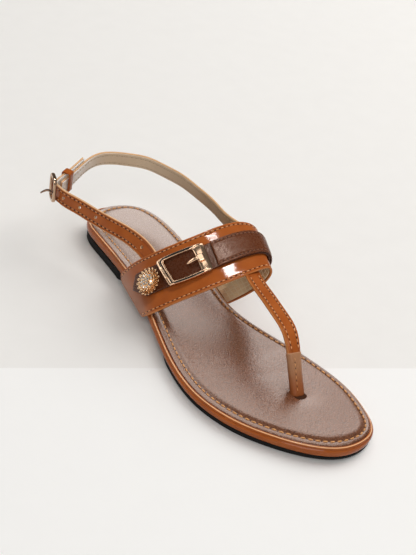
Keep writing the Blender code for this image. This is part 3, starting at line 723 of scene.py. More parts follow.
def sew(name, rows, slot, thread, stitch, hole):
    """Rows of stitches with a dark lozenge between each two, painted shade for the needle hole.

    A stitch has a length and a thread radius, and a hole has a length and half width in thread radii.
    """
    length, radius = stitch
    fasten(make_stitches(f"{name}_stitches", rows, length, radius, STITCH_SINK), slot, [], thread)
    long, wide = (size * radius for size in hole)
    gaps = [between(row) for row in rows]
    holes = make_stitches(f"{name}_needle_holes", gaps, long, wide, 0.0, HOLE_PRESS)
    fasten(holes, slot, [], hole_shade)


orange_thread = thread_finish("orange_thread", (0.80, 0.40, 0.14, 1), (0.62, 0.27, 0.08, 1))
sew("insole", seam_rows, "footbed", orange_thread, SEAM_STITCH, SEAM_HOLE)

# Instep band
# A broad strap of tan patent leather, its edges turned in and stitched, with a khaki lining
# embossed in a grid. Its ends are lasted down over the side of the midsole.
BAND = table(
    "share front_across front_station front_height rear_across rear_station rear_height",
    (0.00, -36.1, 107.9, 5.9, -28.8, 66.9, 6.4),
    (0.07, -35.4, 113.6, 11.4, -28.4, 72.2, 14.8),
    (0.13, -32.0, 117.8, 16.2, -26.9, 78.2, 22.8),
    (0.21, -26.2, 123.5, 23.0, -23.6, 87.0, 32.4),
    (0.31, -17.4, 130.1, 30.9, -16.7, 97.2, 43.4),
    (0.41, -6.5, 134.8, 37.2, -4.2, 104.0, 52.0),
    (0.51, 5.7, 137.3, 41.7, 11.8, 105.7, 56.6),
    (0.60, 17.4, 137.9, 44.6, 26.7, 106.1, 55.8),
    (0.66, 25.0, 138.1, 44.2, 34.6, 107.0, 50.8),
    (0.70, 27.0, 138.0, 40.1, 37.6, 106.2, 44.5),
    (0.77, 25.7, 134.9, 31.6, 37.1, 101.8, 34.0),
    (0.84, 23.4, 130.0, 24.0, 33.8, 95.4, 24.7),
    (0.92, 20.9, 123.2, 15.6, 28.8, 87.1, 15.5),
    (1.00, 19.9, 113.0, 5.2, 25.0, 76.5, 6.0),
)
BAND_LENGTH = 150.0
BAND_WIDTH = 36.0
REAR_CORNER = 7.0
FRONT_CORNER = 2.0
STRAP_WALL = 2.0
BAND_LEATHER = 1.4
LINING_WALL = 0.5
LINING_INSET = 1.1
LINING_GRID = 3.6
LINING_GAP = 0.05
LINING_END = 0.99
EDGE_ZONE = 4.4
EDGE_ROLL = 0.10
SEAM_GROOVE = 0.20
STITCH_PITCH = 3.0
STRAP_STITCH = (1.7, 0.3)
STRAP_HOLE = (3.4, 1.6)
# Each seam of the band: its place over the band and the share of the length where it starts
BAND_SEAMS = ((STITCH_INSET, 0.02), (BAND_WIDTH - STITCH_INSET, 0.03))
BAND_SEAM_END = 0.985
BAND_CREASES = table(
    "across station turn length width depth",
    (9.0, 84.0, 78.0, 7.0, 2.6, 0.20),
    (8.0, 91.0, 84.0, 6.0, 2.4, -0.16),
    (29.0, 60.0, 62.0, 6.0, 2.8, 0.18),
    (8.5, 14.0, 72.0, 7.0, 3.0, 0.22),
    (27.0, 12.0, 98.0, 6.0, 2.6, 0.16),
    (10.0, 102.0, 66.0, 8.0, 2.6, 0.24),
    (26.0, 108.0, 108.0, 8.0, 3.0, 0.24),
)


def band_edge(edge, share):
    """One edge of the band at each share of its length."""
    axes = ("across", "station", "height")
    return np.stack([natural_spline(BAND["share"], BAND[f"{edge}_{axis}"], share) for axis in axes], -1)


def band_point(share, breadth, lift):
    """The band's outer face, ruled from its front edge to its rear one, raised along its normal."""
    share, breadth, lift = np.broadcast_arrays(share, breadth, np.asarray(lift, float))

    def face(along, over):
        front = band_edge("front", along)
        return front + (band_edge("rear", along) - front) * over[..., None]

    nudge = 1e-3
    up = face(np.clip(share + nudge, 0, 1), breadth) - face(np.clip(share - nudge, 0, 1), breadth)
    over = face(share, breadth + nudge) - face(share, breadth - nudge)
    return face(share, breadth) - unit(np.cross(up, over)) * lift[..., None]


def hem_start(breadth):
    """How far the lateral hem is cut back at each breadth, as a quarter circle at each corner."""
    cut = 0
    for corner, inside in ((REAR_CORNER, (1 - breadth) * BAND_WIDTH), (FRONT_CORNER, breadth * BAND_WIDTH)):
        short = np.clip(corner - inside, 0, corner)
        cut = cut + corner - np.sqrt(corner**2 - short**2)
    return cut / BAND_LENGTH


def bell(value, middle, half):
    """exp(-t^2), where t is the distance from the middle in half widths."""
    return np.exp(-(((value - middle) / half) ** 2))


def seam_relief(edge):
    """A strap's face near its edge: a soft roll, then the groove that the stitches pull in."""
    return EDGE_ROLL * bell(edge, 1.0, 0.5) - SEAM_GROOVE * bell(edge, STITCH_INSET, 0.42)


def plain_face(edge):
    """A face with no relief."""
    return 0 * edge


def flat_section(width, wall, relief, columns=15):
    """Round-edged section of a flat strap: places over its width from 0, lifts from 0 down to -wall."""
    round_off = wall / 2
    near = np.linspace(round_off, min(EDGE_ZONE, 0.45 * width), columns)
    face = np.concatenate([near, np.linspace(near[-1], width - near[-1], columns)[1:-1], width - near[::-1]])
    turn = np.radians(np.linspace(75, -75, 6))
    edge = width - round_off + round_off * np.cos(turn)
    edge_lift = round_off * np.sin(turn) - round_off
    over = np.concatenate([face, edge, face[::-1], width - edge])
    lift = [relief(np.minimum(face, width - face)), edge_lift, 0 * face - wall, edge_lift[::-1]]
    return over, np.concatenate(lift)


def band_strip(name, over, lift, start, end, rows, creases=None):
    """A closed strip along the band, with its section as places over the band and lifts.

    start and end are shares of the band's length for each place over it. Each end is rounded off: at
    turn t of its nose the section is sin t of its full depth, and 1 - cos t of the nose from the end.
    """
    turn = np.radians([0, 30, 60])[:, None]
    middle = (lift.max() + lift.min()) / 2
    nose = (lift.max() - lift.min()) / 2 / BAND_LENGTH
    start, end = np.broadcast_to(start, over.shape), np.broadcast_to(end, over.shape)
    tip = nose * (1 - np.cos(turn))
    body = start + nose + (end - start - 2 * nose) * np.linspace(0, 1, rows)[:, None]
    share = np.concatenate([start + tip, body, end - tip[::-1]])
    tip_lift = middle + (lift - middle) * np.sin(turn)
    lifts = np.concatenate([tip_lift, np.tile(lift, (rows, 1)), tip_lift[::-1]])
    edge = np.minimum(over - over.min(), over.max() - over)
    if creases:
        inner = smooth_step(edge, STITCH_INSET, 3 * STITCH_INSET)
        lifts = lifts - inner * soft_creases(creases, over, share * BAND_LENGTH)
    grid = band_point(share, over / BAND_WIDTH, lifts)
    uv = np.stack([share * BAND_LENGTH, np.broadcast_to(edge, share.shape)], -1)
    return surface(name, grid, np.concatenate([uv, uv[:, :1]], 1), ring=True)


def lining_finish():
    """Khaki lining with an embossed grid of fine lines and a faint grain, painted paler by the medial sole as
    painted light.
    """
    lining = Finish("khaki_lining", Specular_IOR_Level=0.3)
    along, over = lining.strip()
    stray = lining.noise(110.0, 2.0) * 2.4
    lines = []
    for coordinate in (along, over):
        wave = (((coordinate + stray) / LINING_GRID).math("FRACT") - 0.5) * LINING_GRID
        lines.append(abs(wave).clear_of(0.50, 0.14))
    line = lines[0].math("MAXIMUM", lines[1])
    grain = lining.noise(1500.0, 3.0)
    cloth = lining.blend(grain, (0.520, 0.310, 0.140, 1), (0.640, 0.410, 0.205, 1))
    # Painted light: the lining is painted paler towards its medial end, where light falls on it
    cloth = lining.blend(along.clear_of(117.0, 136.0), cloth, (0.93, 0.72, 0.44, 1))
    lining.paint(Base_Color=lining.blend(line * 0.9, cloth, (0.98, 0.82, 0.57, 1)))
    lining.paint(Roughness=grain * 0.2 + 0.42)
    lining.bump(line * 0.8 + grain * 0.3, 0.18)
    return lining


lining = lining_finish()
band_over, band_lift = flat_section(BAND_WIDTH, BAND_LEATHER, seam_relief)
hem = hem_start(band_over / BAND_WIDTH)
band = band_strip("instep_band", band_over, band_lift, hem, 1.0, 170, BAND_CREASES)
fasten(band, "tan_patent", ["upper"], patent)

lining_over, lining_lift = flat_section(BAND_WIDTH - 2 * LINING_INSET, LINING_WALL, plain_face, 8)
lining_over = lining_over + LINING_INSET
lining_start = hem_start(lining_over / BAND_WIDTH) + LINING_INSET / BAND_LENGTH
lining_lift = lining_lift - BAND_LEATHER - LINING_GAP
band_lining = band_strip("band_lining", lining_over, lining_lift, lining_start, LINING_END, 120)
fasten(band_lining, "tan_patent", ["upper"], lining)


def band_line(over, start, end):
    """A line along the band at a place over it, with the directions out of its face."""
    share = np.linspace(start, end, 400)
    breadth = np.full(len(share), over / BAND_WIDTH)
    points = band_point(share, breadth, -STITCH_SINK)
    return points, band_point(share, breadth, 1.0) - points


tan_thread = thread_finish("tan_thread", (0.84, 0.45, 0.195, 1), (0.62, 0.26, 0.085, 1))
band_rows = []
for over, start in BAND_SEAMS:
    band_rows.append(evenly(*band_line(over, start, BAND_SEAM_END), STITCH_PITCH))
sew("band", band_rows, "tan_patent", tan_thread, STRAP_STITCH, STRAP_HOLE)

# Toe strap
# A flat stitched strap of the same patent leather, sewn under the band's front edge. Below the
# bend it is rolled into the toe post, wrapped in a sleeve, and let into the padding.
TOE_STRAP = table(
    "across station height width thickness",
    (5.4, 204.3, 9.6, 7.4, 4.6),
    (6.1, 198.4, 19.5, 7.4, 4.6),
    (6.8, 192.7, 29.0, 8.2, 4.2),
    (7.8, 184.6, 36.2, 9.2, 2.6),
    (9.3, 172.1, 39.1, 9.4, 2.2),
    (11.4, 155.4, 40.7, 9.4, 2.2),
)
TOE_STRAP_SHARE = 0.572
TOE_STRAP_TUCK = (0.05, 0.45)
TOE_SPACING = 0.8
TOE_SEWN = 17.6
SEWN_OVERLAP = 0.25
# The closed end of a strap, ring by ring: size of the section and reach past the end
STRAP_END = ((0.0, 0.35), (0.8, 0.35), (0.94, 0.22))
POST_SINK = 1.2
SLEEVE_HEIGHT = 28.4
SLEEVE_WALL = 0.35
SLEEVE_SEAM = -1.3
SLEEVE_BARE = 2
SLEEVE_STITCH = (1.5, 0.2)
SLIT_SHADOW_SIZE = (4.3, 3.0)
# The painted shadow round the post's slit, ring by ring: share of its size and lift
SLIT_SHADOW_RINGS = ((0.0, 0.25), (0.8, 0.25), (1.0, 0.12), (1.05, -0.3))
TOE_CREASES = table(
    "across station turn length width depth",
    (4.6, 31.0, 4.0, 6.0, 1.3, 0.16),
    (4.4, 35.5, -6.0, 6.0, 1.5, -0.12),
    (4.8, 40.0, 5.0, 6.0, 1.6, 0.14),
    (4.6, 58.0, 12.0, 4.0, 2.4, 0.12),
)


def path_through(columns, spacing):
    """Smooth route through rows of points: each column read evenly along the route's length."""
    points = np.stack(columns[:3], -1)
    length = line_length(points)
    at = np.linspace(0, length[-1], round(length[-1] / spacing))
    return [natural_spline(length, np.asarray(column, float), at) for column in columns]


def square_to(vectors, *others):
    """Vectors with their shares along other unit vectors taken out."""
    for other in others:
        vectors = vectors - other * np.sum(vectors * other, -1, keepdims=True)
    return unit(vectors)


def strap(name, route, sideways, outward, width, wall, relief=seam_relief, creases=None):
    """A flat strap swept along the route of its middle, facing outwards.

    Its round-edged sections have a width and wall for each point. Both ends are eased in and closed.
    """
    width, wall = np.broadcast_to(width, len(route)), np.broadcast_to(wall, len(route))
    sections = [flat_section(wide, thick, relief, 9) for wide, thick in zip(width, wall)]
    over, lift = np.array(sections).transpose(1, 0, 2)
    edge = np.minimum(over, width[:, None] - over)
    if creases:
        outer = smooth_step(edge, 0.4 * STITCH_INSET, 2 * STITCH_INSET) * (lift > -wall[:, None] / 2)
        lift = lift - outer * soft_creases(creases, over, line_length(route)[:, None])
    along = unit(np.gradient(route, axis=0))
    across = square_to(sideways, along)[:, None]
    through = square_to(outward, along, across[:, 0])[:, None]
    aside = (over - width[:, None] / 2)[..., None]
    grid = route[:, None] + aside * across + (lift + wall[:, None] / 2)[..., None] * through

    def cap(number, way):
        middle, section = route[number], grid[number] - route[number]
        return [middle + section * size + along[number] * way * reach for size, reach in STRAP_END]

    grid = np.concatenate([cap(0, -1), grid, cap(-1, 1)[::-1]])
    length = np.pad(line_length(route), len(STRAP_END), mode="edge")[:, None]
    edge = np.pad(edge, ((len(STRAP_END),) * 2, (0, 0)), mode="edge")
    uv = np.stack(np.broadcast_arrays(length, edge), -1)
    return surface(name, grid, np.concatenate([uv, uv[:, :1]], 1), ring=True)


def toe_strap_route():
    """The strap's upper face from the post's foot to its sewn end under the band."""
    depth = -(STRAP_WALL - SEWN_OVERLAP)
    tucked = band_point(np.full(2, TOE_STRAP_SHARE), np.array(TOE_STRAP_TUCK), depth)
    rows = np.column_stack(list(TOE_STRAP.values()))
    sewn = np.column_stack([tucked, np.tile(rows[-1, 3:], (2, 1))])
    across, station, height, width, wall = path_through(np.concatenate([rows, sewn]).T, TOE_SPACING)
    face = np.stack([across, station, height], -1)
    foot = face[0] - unit(face[1] - face[0]) * POST_SINK
    face = np.concatenate([[foot], face])
    width = np.concatenate([width[:1], width])
    wall = np.concatenate([wall[:1], wall])
    along = unit(np.gradient(face, axis=0))
    sideways = np.tile([1.0, 0.0, 0.0], (len(face), 1))
    outward = -unit(np.cross(sideways, along))
    return face, sideways, outward, width, wall


toe_face, toe_side, toe_out, toe_width, toe_wall = toe_strap_route()
toe_middle = toe_face - toe_out * toe_wall[:, None] / 2
toe_strap = strap("toe_strap", toe_middle, toe_side, toe_out, toe_width, toe_wall, creases=TOE_CREASES)
fasten(toe_strap, "tan_patent", ["upper"], patent)

sleeve = slice(0, np.count_nonzero(toe_face[:, 2] < SLEEVE_HEIGHT))


def sleeve_finish():
    """The sleeve's leather: paler and duller than the straps, and darker towards its foot."""
    sleeve = Finish("post_sleeve", Specular_IOR_Level=0.3)
    grain = sleeve.noise(800.0, 3.0)
    # The tone is darker and deeper towards the post's foot, and paler higher up
    height_share = sleeve.axis(sleeve.place(), "Z").clear_of(0.011, 0.024)
    low = sleeve.blend(grain, (0.285, 0.075, 0.018, 1), (0.350, 0.105, 0.030, 1))
    high = sleeve.blend(grain, (0.365, 0.165, 0.074, 1), (0.450, 0.225, 0.115, 1))
    sleeve.paint(Base_Color=sleeve.blend(height_share, low, high))
    sleeve.paint(Roughness=grain * 0.2 + 0.3)
    sleeve.bump(grain, 0.1)
    return sleeve


post_sleeve = strap(
    "post_sleeve",
    toe_middle[sleeve],
    toe_side[sleeve],
    toe_out[sleeve],
    toe_width[sleeve] + 2 * SLEEVE_WALL,
    toe_wall[sleeve] + 2 * SLEEVE_WALL,
    relief=plain_face,
)
fasten(post_sleeve, "tan_patent", ["upper"], sleeve_finish())


def make_slit_shadow():
    """The slit in the footbed round the post's foot: a flat oval ring, dark as a painted shadow round the
    post.
    """
    turn = full_turn(32)
    spot = (*POST_SPOT, rim_height(POST_SPOT[1]) + INSOLE_CROWN - INSOLE_EDGE["drop"][-1] - POST_DIMPLE[0])
    rows = []
    for reach, lift in SLIT_SHADOW_RINGS:
        half_across, half_along = (reach * half for half in SLIT_SHADOW_SIZE)
        rows.append(np.column_stack([half_across * np.cos(turn), half_along * np.sin(turn), 0 * turn + lift]))
    return surface("post_socket", np.array(rows) + spot, ring=True)


# The slit's dark brown is painted shadow round the post's foot
socket = Finish("post_socket", Roughness=0.7, Specular_IOR_Level=0.1)
socket.paint(Base_Color=(0.045, 0.016, 0.007, 1))
fasten(make_slit_shadow(), "footbed", [], socket)
sleeve_line = toe_face[sleeve] + toe_side[sleeve] * SLEEVE_SEAM + toe_out[sleeve] * SLEEVE_WALL
sewn = slice(SLEEVE_BARE, -SLEEVE_BARE)
sleeve_rows = [evenly(sleeve_line[sewn], toe_out[sleeve][sewn], STITCH_PITCH)]

flat = slice(sleeve.stop + 1, len(toe_face) - round(TOE_SEWN / TOE_SPACING))
toe_rows = []
for way in (-1, 1):
    offset = way * (toe_width / 2 - STITCH_INSET)
    line = toe_face + toe_side * offset[:, None] - toe_out * STITCH_SINK
    toe_rows.append(evenly(line[flat], toe_out[flat], STITCH_PITCH))
sew("toe_strap", toe_rows, "tan_patent", tan_thread, STRAP_STITCH, STRAP_HOLE)
sew("sleeve", sleeve_rows, "tan_patent", tan_thread, SLEEVE_STITCH, STRAP_HOLE)

# Sling
# Two narrow stitched straps that leave the inside of the band and meet behind the heel. The short
# lateral one is punched for the buckle, and its tip lies along the outside of the long one.
SLING_WIDTH = 10.0
SLING_WALL = 1.8
SLING_LEATHER = 1.2
SLING_LINING = 0.5
SLING_LINING_INSET = 0.3
SLING_SPACING = 1.2
SLING_SEWN = 21.6
SLING_HOLE = (4.2, 2.3)
BACKING_STITCH = (1.7, 0.22)
BACKING_HOLE = (1.6, 0.8)
LONG_SLING = table(
    "across station height lean",
    (31.4, 84.5, 42.7, 14),
    (31.6, 69.0, 43.5, 14),
    (31.4, 50.0, 43.5, 14),
    (29.8, 32.4, 43.5, 14),
    (26.0, 17.6, 43.0, 14),
    (20.9, 4.7, 42.5, 14),
    (13.1, -3.1, 42.0, 14),
    (4.2, -8.9, 41.5, 14),
    (-3.2, -11.0, 41.0, 14),
    (-10.7, -9.7, 40.0, 12),
    (-19.3, -5.1, 38.5, 10),
    (-28.2, 0.6, 37.0, 8),
    (-34.0, 4.2, 36.0, 5),
    (-38.4, 6.9, 35.4, 5),
)
LONG_SLING_SHARE = 0.715
LOOP_CENTRE = (-6.0, 45.0, 0.0)
SHORT_SLING = table(
    "across station height lean",
    (-20.9, 76.3, 31.0, 32),
    (-22.4, 65.1, 31.5, 24),
    (-27.7, 50.9, 32.3, 17),
    (-33.1, 37.1, 33.0, 15),
    (-37.3, 26.8, 34.0, 12),
    (-40.8, 19.5, 34.7, 9),
    (-42.6, 12.0, 35.2, 5),
    (-41.3, 5.7, 35.5, 5),
)
SHORT_SLING_SHARE = 0.205
SLING_TUCK = (0.72, 0.9)
TIP_RISE = 2.6
TIP_ACROSS = (-35.0, -31.0, -27.0, -23.0, -16.8)
PUNCHED = (20.0, 58.6, 71.3, 83.8)
PUNCH_RADIUS = 1.0
PUNCH_REACH = 3.0
SLING_CREASES = table(
    "across station turn length width depth",
    (4.6, 30.0, 10.0, 5.0, 2.0, 0.16),
    (5.4, 36.0, -8.0, 5.0, 2.2, -0.12),
    (5.0, 66.0, 14.0, 5.0, 2.6, 0.12),
    (5.0, 92.0, -10.0, 5.0, 2.2, 0.16),
)


def sling_route(rows, share):
    """A sling strap's middle line from the inside of the band, with its directions at each point."""
    depth = -(STRAP_WALL + SLING_WALL / 2 - SEWN_OVERLAP)
    tucked = band_point(np.full(2, share), np.array(SLING_TUCK), depth)
    start = np.column_stack([tucked, np.full(2, rows["lean"][0])])
    rows = np.concatenate([start, np.column_stack(list(rows.values()))])
    *axes, lean = path_through(rows.T, SLING_SPACING)
    middle = np.stack(axes, -1)
    along = unit(np.gradient(middle, axis=0))
    upright = np.array([0.0, 0.0, 1.0])
    inward = unit(np.cross(along, upright))
    inward *= np.sign(np.sum(inward * (LOOP_CENTRE - middle), axis=-1, keepdims=True))
    turn = np.radians(lean)[:, None]
    width_way = square_to(upright * np.cos(turn) + inward * np.sin(turn), along)
    face_way = np.cross(along, width_way)
    face_way *= -np.sign(np.sum(face_way * inward, axis=-1, keepdims=True))
    return {"middle": middle, "lean": lean, "along": along, "width": width_way, "face": face_way}


def beside_long_sling(long_sling, across, lift):
    """The long sling's point, lean and directions at a place behind the heel, raised off its face."""
    behind = long_sling["middle"][:, 0] < 0
    places = -long_sling["middle"][behind, 0]

    def read(key):
        return read_line(long_sling[key][behind], places, -across)

    spot = {key: unit(read(key)) for key in ("along", "width", "face")}
    spot["middle"] = read("middle") + spot["face"] * lift
    spot["lean"] = np.interp(-across, places, long_sling["lean"][behind])
    return spot


def short_sling_rows(long_sling):
    """The short sling's rows, with its tip laid along the outside of the long sling."""
    rows = np.column_stack(list(SHORT_SLING.values()))
    for across in TIP_ACROSS:
        spot = beside_long_sling(long_sling, across, SLING_WALL - SEWN_OVERLAP)
        middle = spot["middle"] + spot["width"] * TIP_RISE
        rows = np.vstack([rows, [*middle, spot["lean"]]])
    return dict(zip(SHORT_SLING, rows.T))


def sling_lining_finish(name, glare_start, glare_end, glare_tone):
    """Khaki backing of a sling: painted shade near the band gives way to painted light towards the heel, with
    a painted glare between two lengths.
    """
    backing = Finish(name, Specular_IOR_Level=0.4)
    along, _ = backing.strip()
    grain = backing.noise(1300.0, 3.0)
    cloud = backing.noise(60.0, 2.0)
    near = backing.blend(cloud, (0.340, 0.198, 0.094, 1), (0.430, 0.268, 0.138, 1))
    far = backing.blend(cloud, (0.780, 0.610, 0.420, 1), (0.900, 0.740, 0.560, 1))
    # Painted shade near the band, and painted light towards the heel
    cloth = backing.blend(along.clear_of(15.0, 120.0), near, far)
    # Painted glare: a pale patch between two lengths along the strap, where the lining mirrors a bright light
    glare = along.clear_of(glare_start, glare_end)
    cloth = backing.blend(glare, cloth, glare_tone)
    dull = grain * (0.35 - glare * 0.2)
    backing.paint(Base_Color=backing.blend(dull, cloth, (0.36, 0.26, 0.15, 1)))
    backing.paint(Roughness=grain * 0.2 + 0.35)
    backing.bump(grain, 0.08)
    return backing


def punch(piece, route):
    """Cuts the buckle's round holes through a piece of the short sling, at lengths along its route."""
    length = line_length(route["middle"])
    keys = ("middle", "along", "width", "face")
    middle, along, width, face = (read_line(route[key], length, PUNCHED)[:, None, None] for key in keys)
    turn = full_turn(24)[:, None]
    radius = PUNCH_RADIUS * np.array([0, 1, 1, 0])[:, None, None]
    lift = PUNCH_REACH * np.array([-1, -1, 1, 1])[:, None, None]
    bore = middle + radius * (along * np.cos(turn) + width * np.sin(turn)) + lift * face
    cutter = surface("punch", bore, ring=True)
    cut = piece.modifiers.new("Punched", "BOOLEAN")
    cut.operation = "DIFFERENCE"
    cut.object = cutter
    seen = piece.evaluated_get(bpy.context.evaluated_depsgraph_get())
    piece.data = bpy.data.meshes.new_from_object(seen)
    piece.modifiers.clear()
    bpy.data.objects.remove(cutter)


def sling_layer(name, route, face, wall, inset, relief, creases=None):
    """One layer of a sling, flush with the face that it turns out. The short sling's are punched."""
    middle = route["middle"] + face * (SLING_WALL - wall) / 2
    layer = strap(name, middle, route["width"], face, SLING_WIDTH - 2 * inset, wall, relief, creases)
    if route is short_route:
        punch(layer, route)
    return layer


def sling_seams(route, face, sink):
    """The two rows of stitches along a face of a sling, from where it leaves the band."""
    free = slice(round(SLING_SEWN / SLING_SPACING), None)
    rows = []
    for way in (-1, 1):
        line = route["middle"] + route["width"] * way * (SLING_WIDTH / 2 - STITCH_INSET)
        line = line + face * (SLING_WALL / 2 - sink)
        rows.append(evenly(line[free], face[free], STITCH_PITCH))
    return rows


# The pale tones are painted glare on the long sling's heel end and on the short sling's tip
long_lining = sling_lining_finish("sling_lining", 130.0, 165.0, (0.950, 0.880, 0.830, 1))
tip_lining = sling_lining_finish("sling_tip_lining", 92.0, 100.0, (0.990, 0.960, 0.930, 1))
khaki_thread = thread_finish("khaki_thread", (0.56, 0.42, 0.25, 1), (0.40, 0.28, 0.15, 1))
deep_thread = thread_finish("deep_tan_thread", (0.66, 0.30, 0.105, 1), (0.46, 0.17, 0.050, 1))
long_route = sling_route(LONG_SLING, LONG_SLING_SHARE)
short_route = sling_route(short_sling_rows(long_route), SHORT_SLING_SHARE)
slings = (("long_sling", long_route, long_lining), ("short_sling", short_route, tip_lining))
for name, route, backing in slings:
    outside, inside = route["face"], -route["face"]
    leather = sling_layer(name, route, outside, SLING_LEATHER, 0.0, seam_relief, SLING_CREASES)
    fasten(leather, "tan_patent", ["upper"], cut_patent)
    rows = sling_seams(route, outside, STITCH_SINK)
    sew(name, rows, "tan_patent", deep_thread, STRAP_STITCH, SLING_HOLE)
    name = f"{name}_lining"
    cloth = sling_layer(name, route, inside, SLING_LINING, SLING_LINING_INSET, plain_face)
    fasten(cloth, "tan_patent", ["upper"], backing)
    sew(name, sling_seams(route, inside, 0.0), "tan_patent", khaki_thread, BACKING_STITCH, BACKING_HOLE)

# Dark strap
# Chocolate brown grained leather laid along the band, cut to a point on the lateral side. On the
# medial side its end is turned back through the buckle and stitched down over itself in a box.
OVERLAY_MIDDLE = 0.53
OVERLAY_WIDTH = 16.6
OVERLAY_WALL = 1.0
OVERLAY_START = 0.062
OVERLAY_POINT = 8.5
OVERLAY_END = 0.955
OVERLAY_TOP = SEAT_GAP + OVERLAY_WALL
FOLD_START = 0.44
FOLD_END = 0.80
FOLD_WALL = 0.9
FOLD_PUFF = 0.25
BOX_INSET = 1.7
BOX_END = FOLD_END - 0.01
BOX_GROOVE = 0.30
BOX_SINK = 0.14
BOX_PITCH = 2.6
BOX_STITCH = (1.7, 0.28)


def dark_finish(name, deep, light):
    """Dark leather: small pebbles with fine creases between them, waxed to a soft gloss."""
    dark = Finish(name, Specular_IOR_Level=0.55, Specular_Tint=(1.0, 0.82, 0.70, 1))
    grain = dark.cells(1000.0, "DISTANCE_TO_EDGE")
    crease = dark.noise(900.0, 4.0, 0.6)
    cloud = dark.noise(60.0, 3.0)
    hide = dark.blend(cloud, deep, light)
    dark.paint(Base_Color=dark.blend(grain.clear_of(0.12, 0.0) * 0.5, hide, (0.034, 0.008, 0.003, 1)))
    dark.paint(Roughness=crease.clear_of(0.3, 0.7) * 0.3 + 0.16)
    dark.bump(grain.clear_of(0.0, 0.2) * 0.7 + crease * 0.5, 0.06)
    return dark


# Two copies of one leather: the strap's is painted darker as painted shade, and the doubled end's paler as
# painted light
dark = dark_finish("dark_leather", (0.068, 0.015, 0.004, 1), (0.104, 0.027, 0.007, 1))
pale = dark_finish("doubled_leather_lit", (0.105, 0.025, 0.007, 1), (0.155, 0.044, 0.012, 1))
overlay_first = OVERLAY_MIDDLE * BAND_WIDTH - OVERLAY_WIDTH / 2
overlay_over, overlay_lift = flat_section(OVERLAY_WIDTH, OVERLAY_WALL, plain_face, 9)
overlay_over = overlay_over + overlay_first
aside = np.abs(overlay_over / BAND_WIDTH - OVERLAY_MIDDLE) / (OVERLAY_WIDTH / BAND_WIDTH / 2)
overlay_start = OVERLAY_START + OVERLAY_POINT / BAND_LENGTH * aside
overlay = band_strip(
    "overlay_strap_leather", overlay_over, overlay_lift + OVERLAY_TOP, overlay_start, OVERLAY_END, 150
)
fasten(overlay, "dark_leather", ["overlay_strap"], dark)


def box_relief(edge):
    """The doubled end's face: padded, with the groove of its stitched box."""
    return FOLD_PUFF * smooth_step(edge, 0.5, 3.5) - BOX_GROOVE * bell(edge, BOX_INSET, 0.45)


fold_over, fold_lift = flat_section(OVERLAY_WIDTH, FOLD_WALL, box_relief, 13)
fold_over = fold_over + overlay_first
fold_top = OVERLAY_TOP + SEAT_GAP + FOLD_WALL
fold = band_strip("strap_fold_leather", fold_over, fold_lift + fold_top, FOLD_START, FOLD_END, 90)
fasten(fold, "dark_leather", ["strap_fold"], pale)


def fold_box():
    """The stitched box of the doubled end: along its rear edge, round its end and back along the front."""
    low, high = overlay_first + BOX_INSET, overlay_first + OVERLAY_WIDTH - BOX_INSET
    start = FOLD_START + BOX_INSET / BAND_LENGTH
    along = np.linspace(BOX_END, start, 120)
    over = np.linspace(high, low, 40)
    share = np.concatenate([along, 0 * over + start, along[::-1]])
    breadth = np.concatenate([0 * along + high, over, 0 * along + low]) / BAND_WIDTH
    points = band_point(share, breadth, fold_top - BOX_SINK)
    return points, band_point(share, breadth, fold_top + 1.0) - points


brown_thread = thread_finish("brown_thread", (0.36, 0.155, 0.080, 1), (0.20, 0.075, 0.035, 1))
fold_rows = [evenly(*fold_box(), BOX_PITCH)]
sew("fold", fold_rows, "dark_leather", brown_thread, BOX_STITCH, STRAP_HOLE)

# Vamp buckle
# A cast and polished rose gold frame, curved to the band: bowed sides with a channel painted black as painted
# shade and painted dark reflection, a narrow bar with a plain plate, and a wide bar. A short T-shaped prong
# lies in its window.
BUCKLE_MIDDLE = (0.327, 0.535)
BUCKLE_LENGTH = 27.4
BUCKLE_WIDTH = 17.4
BUCKLE_BOW = 0.9
BUCKLE_CORNER = 1.1
WINDOW_CORNER = 0.9
BUCKLE_BARS = (4.3, 6.0)
BUCKLE_SIDE = 1.9
BUCKLE_WALL = 1.8
BUCKLE_LOW = OVERLAY_TOP + SEAT_GAP
# The frame's section from its outer edge to its window, with a channel in its sides and narrow bar painted
# black as painted shade and reflection
BUCKLE_PROFILE = table(
    "side_share side narrow_share narrow wide_share wide",
    (0.00, 0.00, 0.00, 0.00, 0.00, 0.00),
    (0.00, 0.90, 0.00, 1.00, 0.00, 1.10),
    (0.05, 1.34, 0.03, 1.36, 0.05, 1.50),
    (0.11, 1.54, 0.08, 1.54, 0.15, 1.80),
    (0.20, 1.56, 0.49, 1.56, 0.45, 2.02),
    (0.24, 1.14, 0.53, 1.00, 0.50, 2.04),
    (0.62, 1.14, 0.66, 1.00, 0.60, 2.04),
    (0.67, 1.56, 0.70, 1.58, 0.66, 2.03),
    (0.76, 1.72, 0.78, 1.74, 0.76, 1.97),
    (0.88, 1.64, 0.89, 1.72, 0.88, 1.82),
    (0.96, 1.36, 0.96, 1.52, 0.96, 1.64),
    (1.00, 0.90, 1.00, 1.10, 1.00, 1.30),
    (1.00, 0.00, 1.00, 0.00, 1.00, 0.00),
    (0.50, 0.00, 0.50, 0.00, 0.50, 0.00),
)
CHANNEL_ROWS = slice(4, 7)
BAR_DROP = 0.9
PLATE_SIZE = (2.0, 8.0)
PLATE_SPOT = 0.31
PLATE_CORNER = 0.35
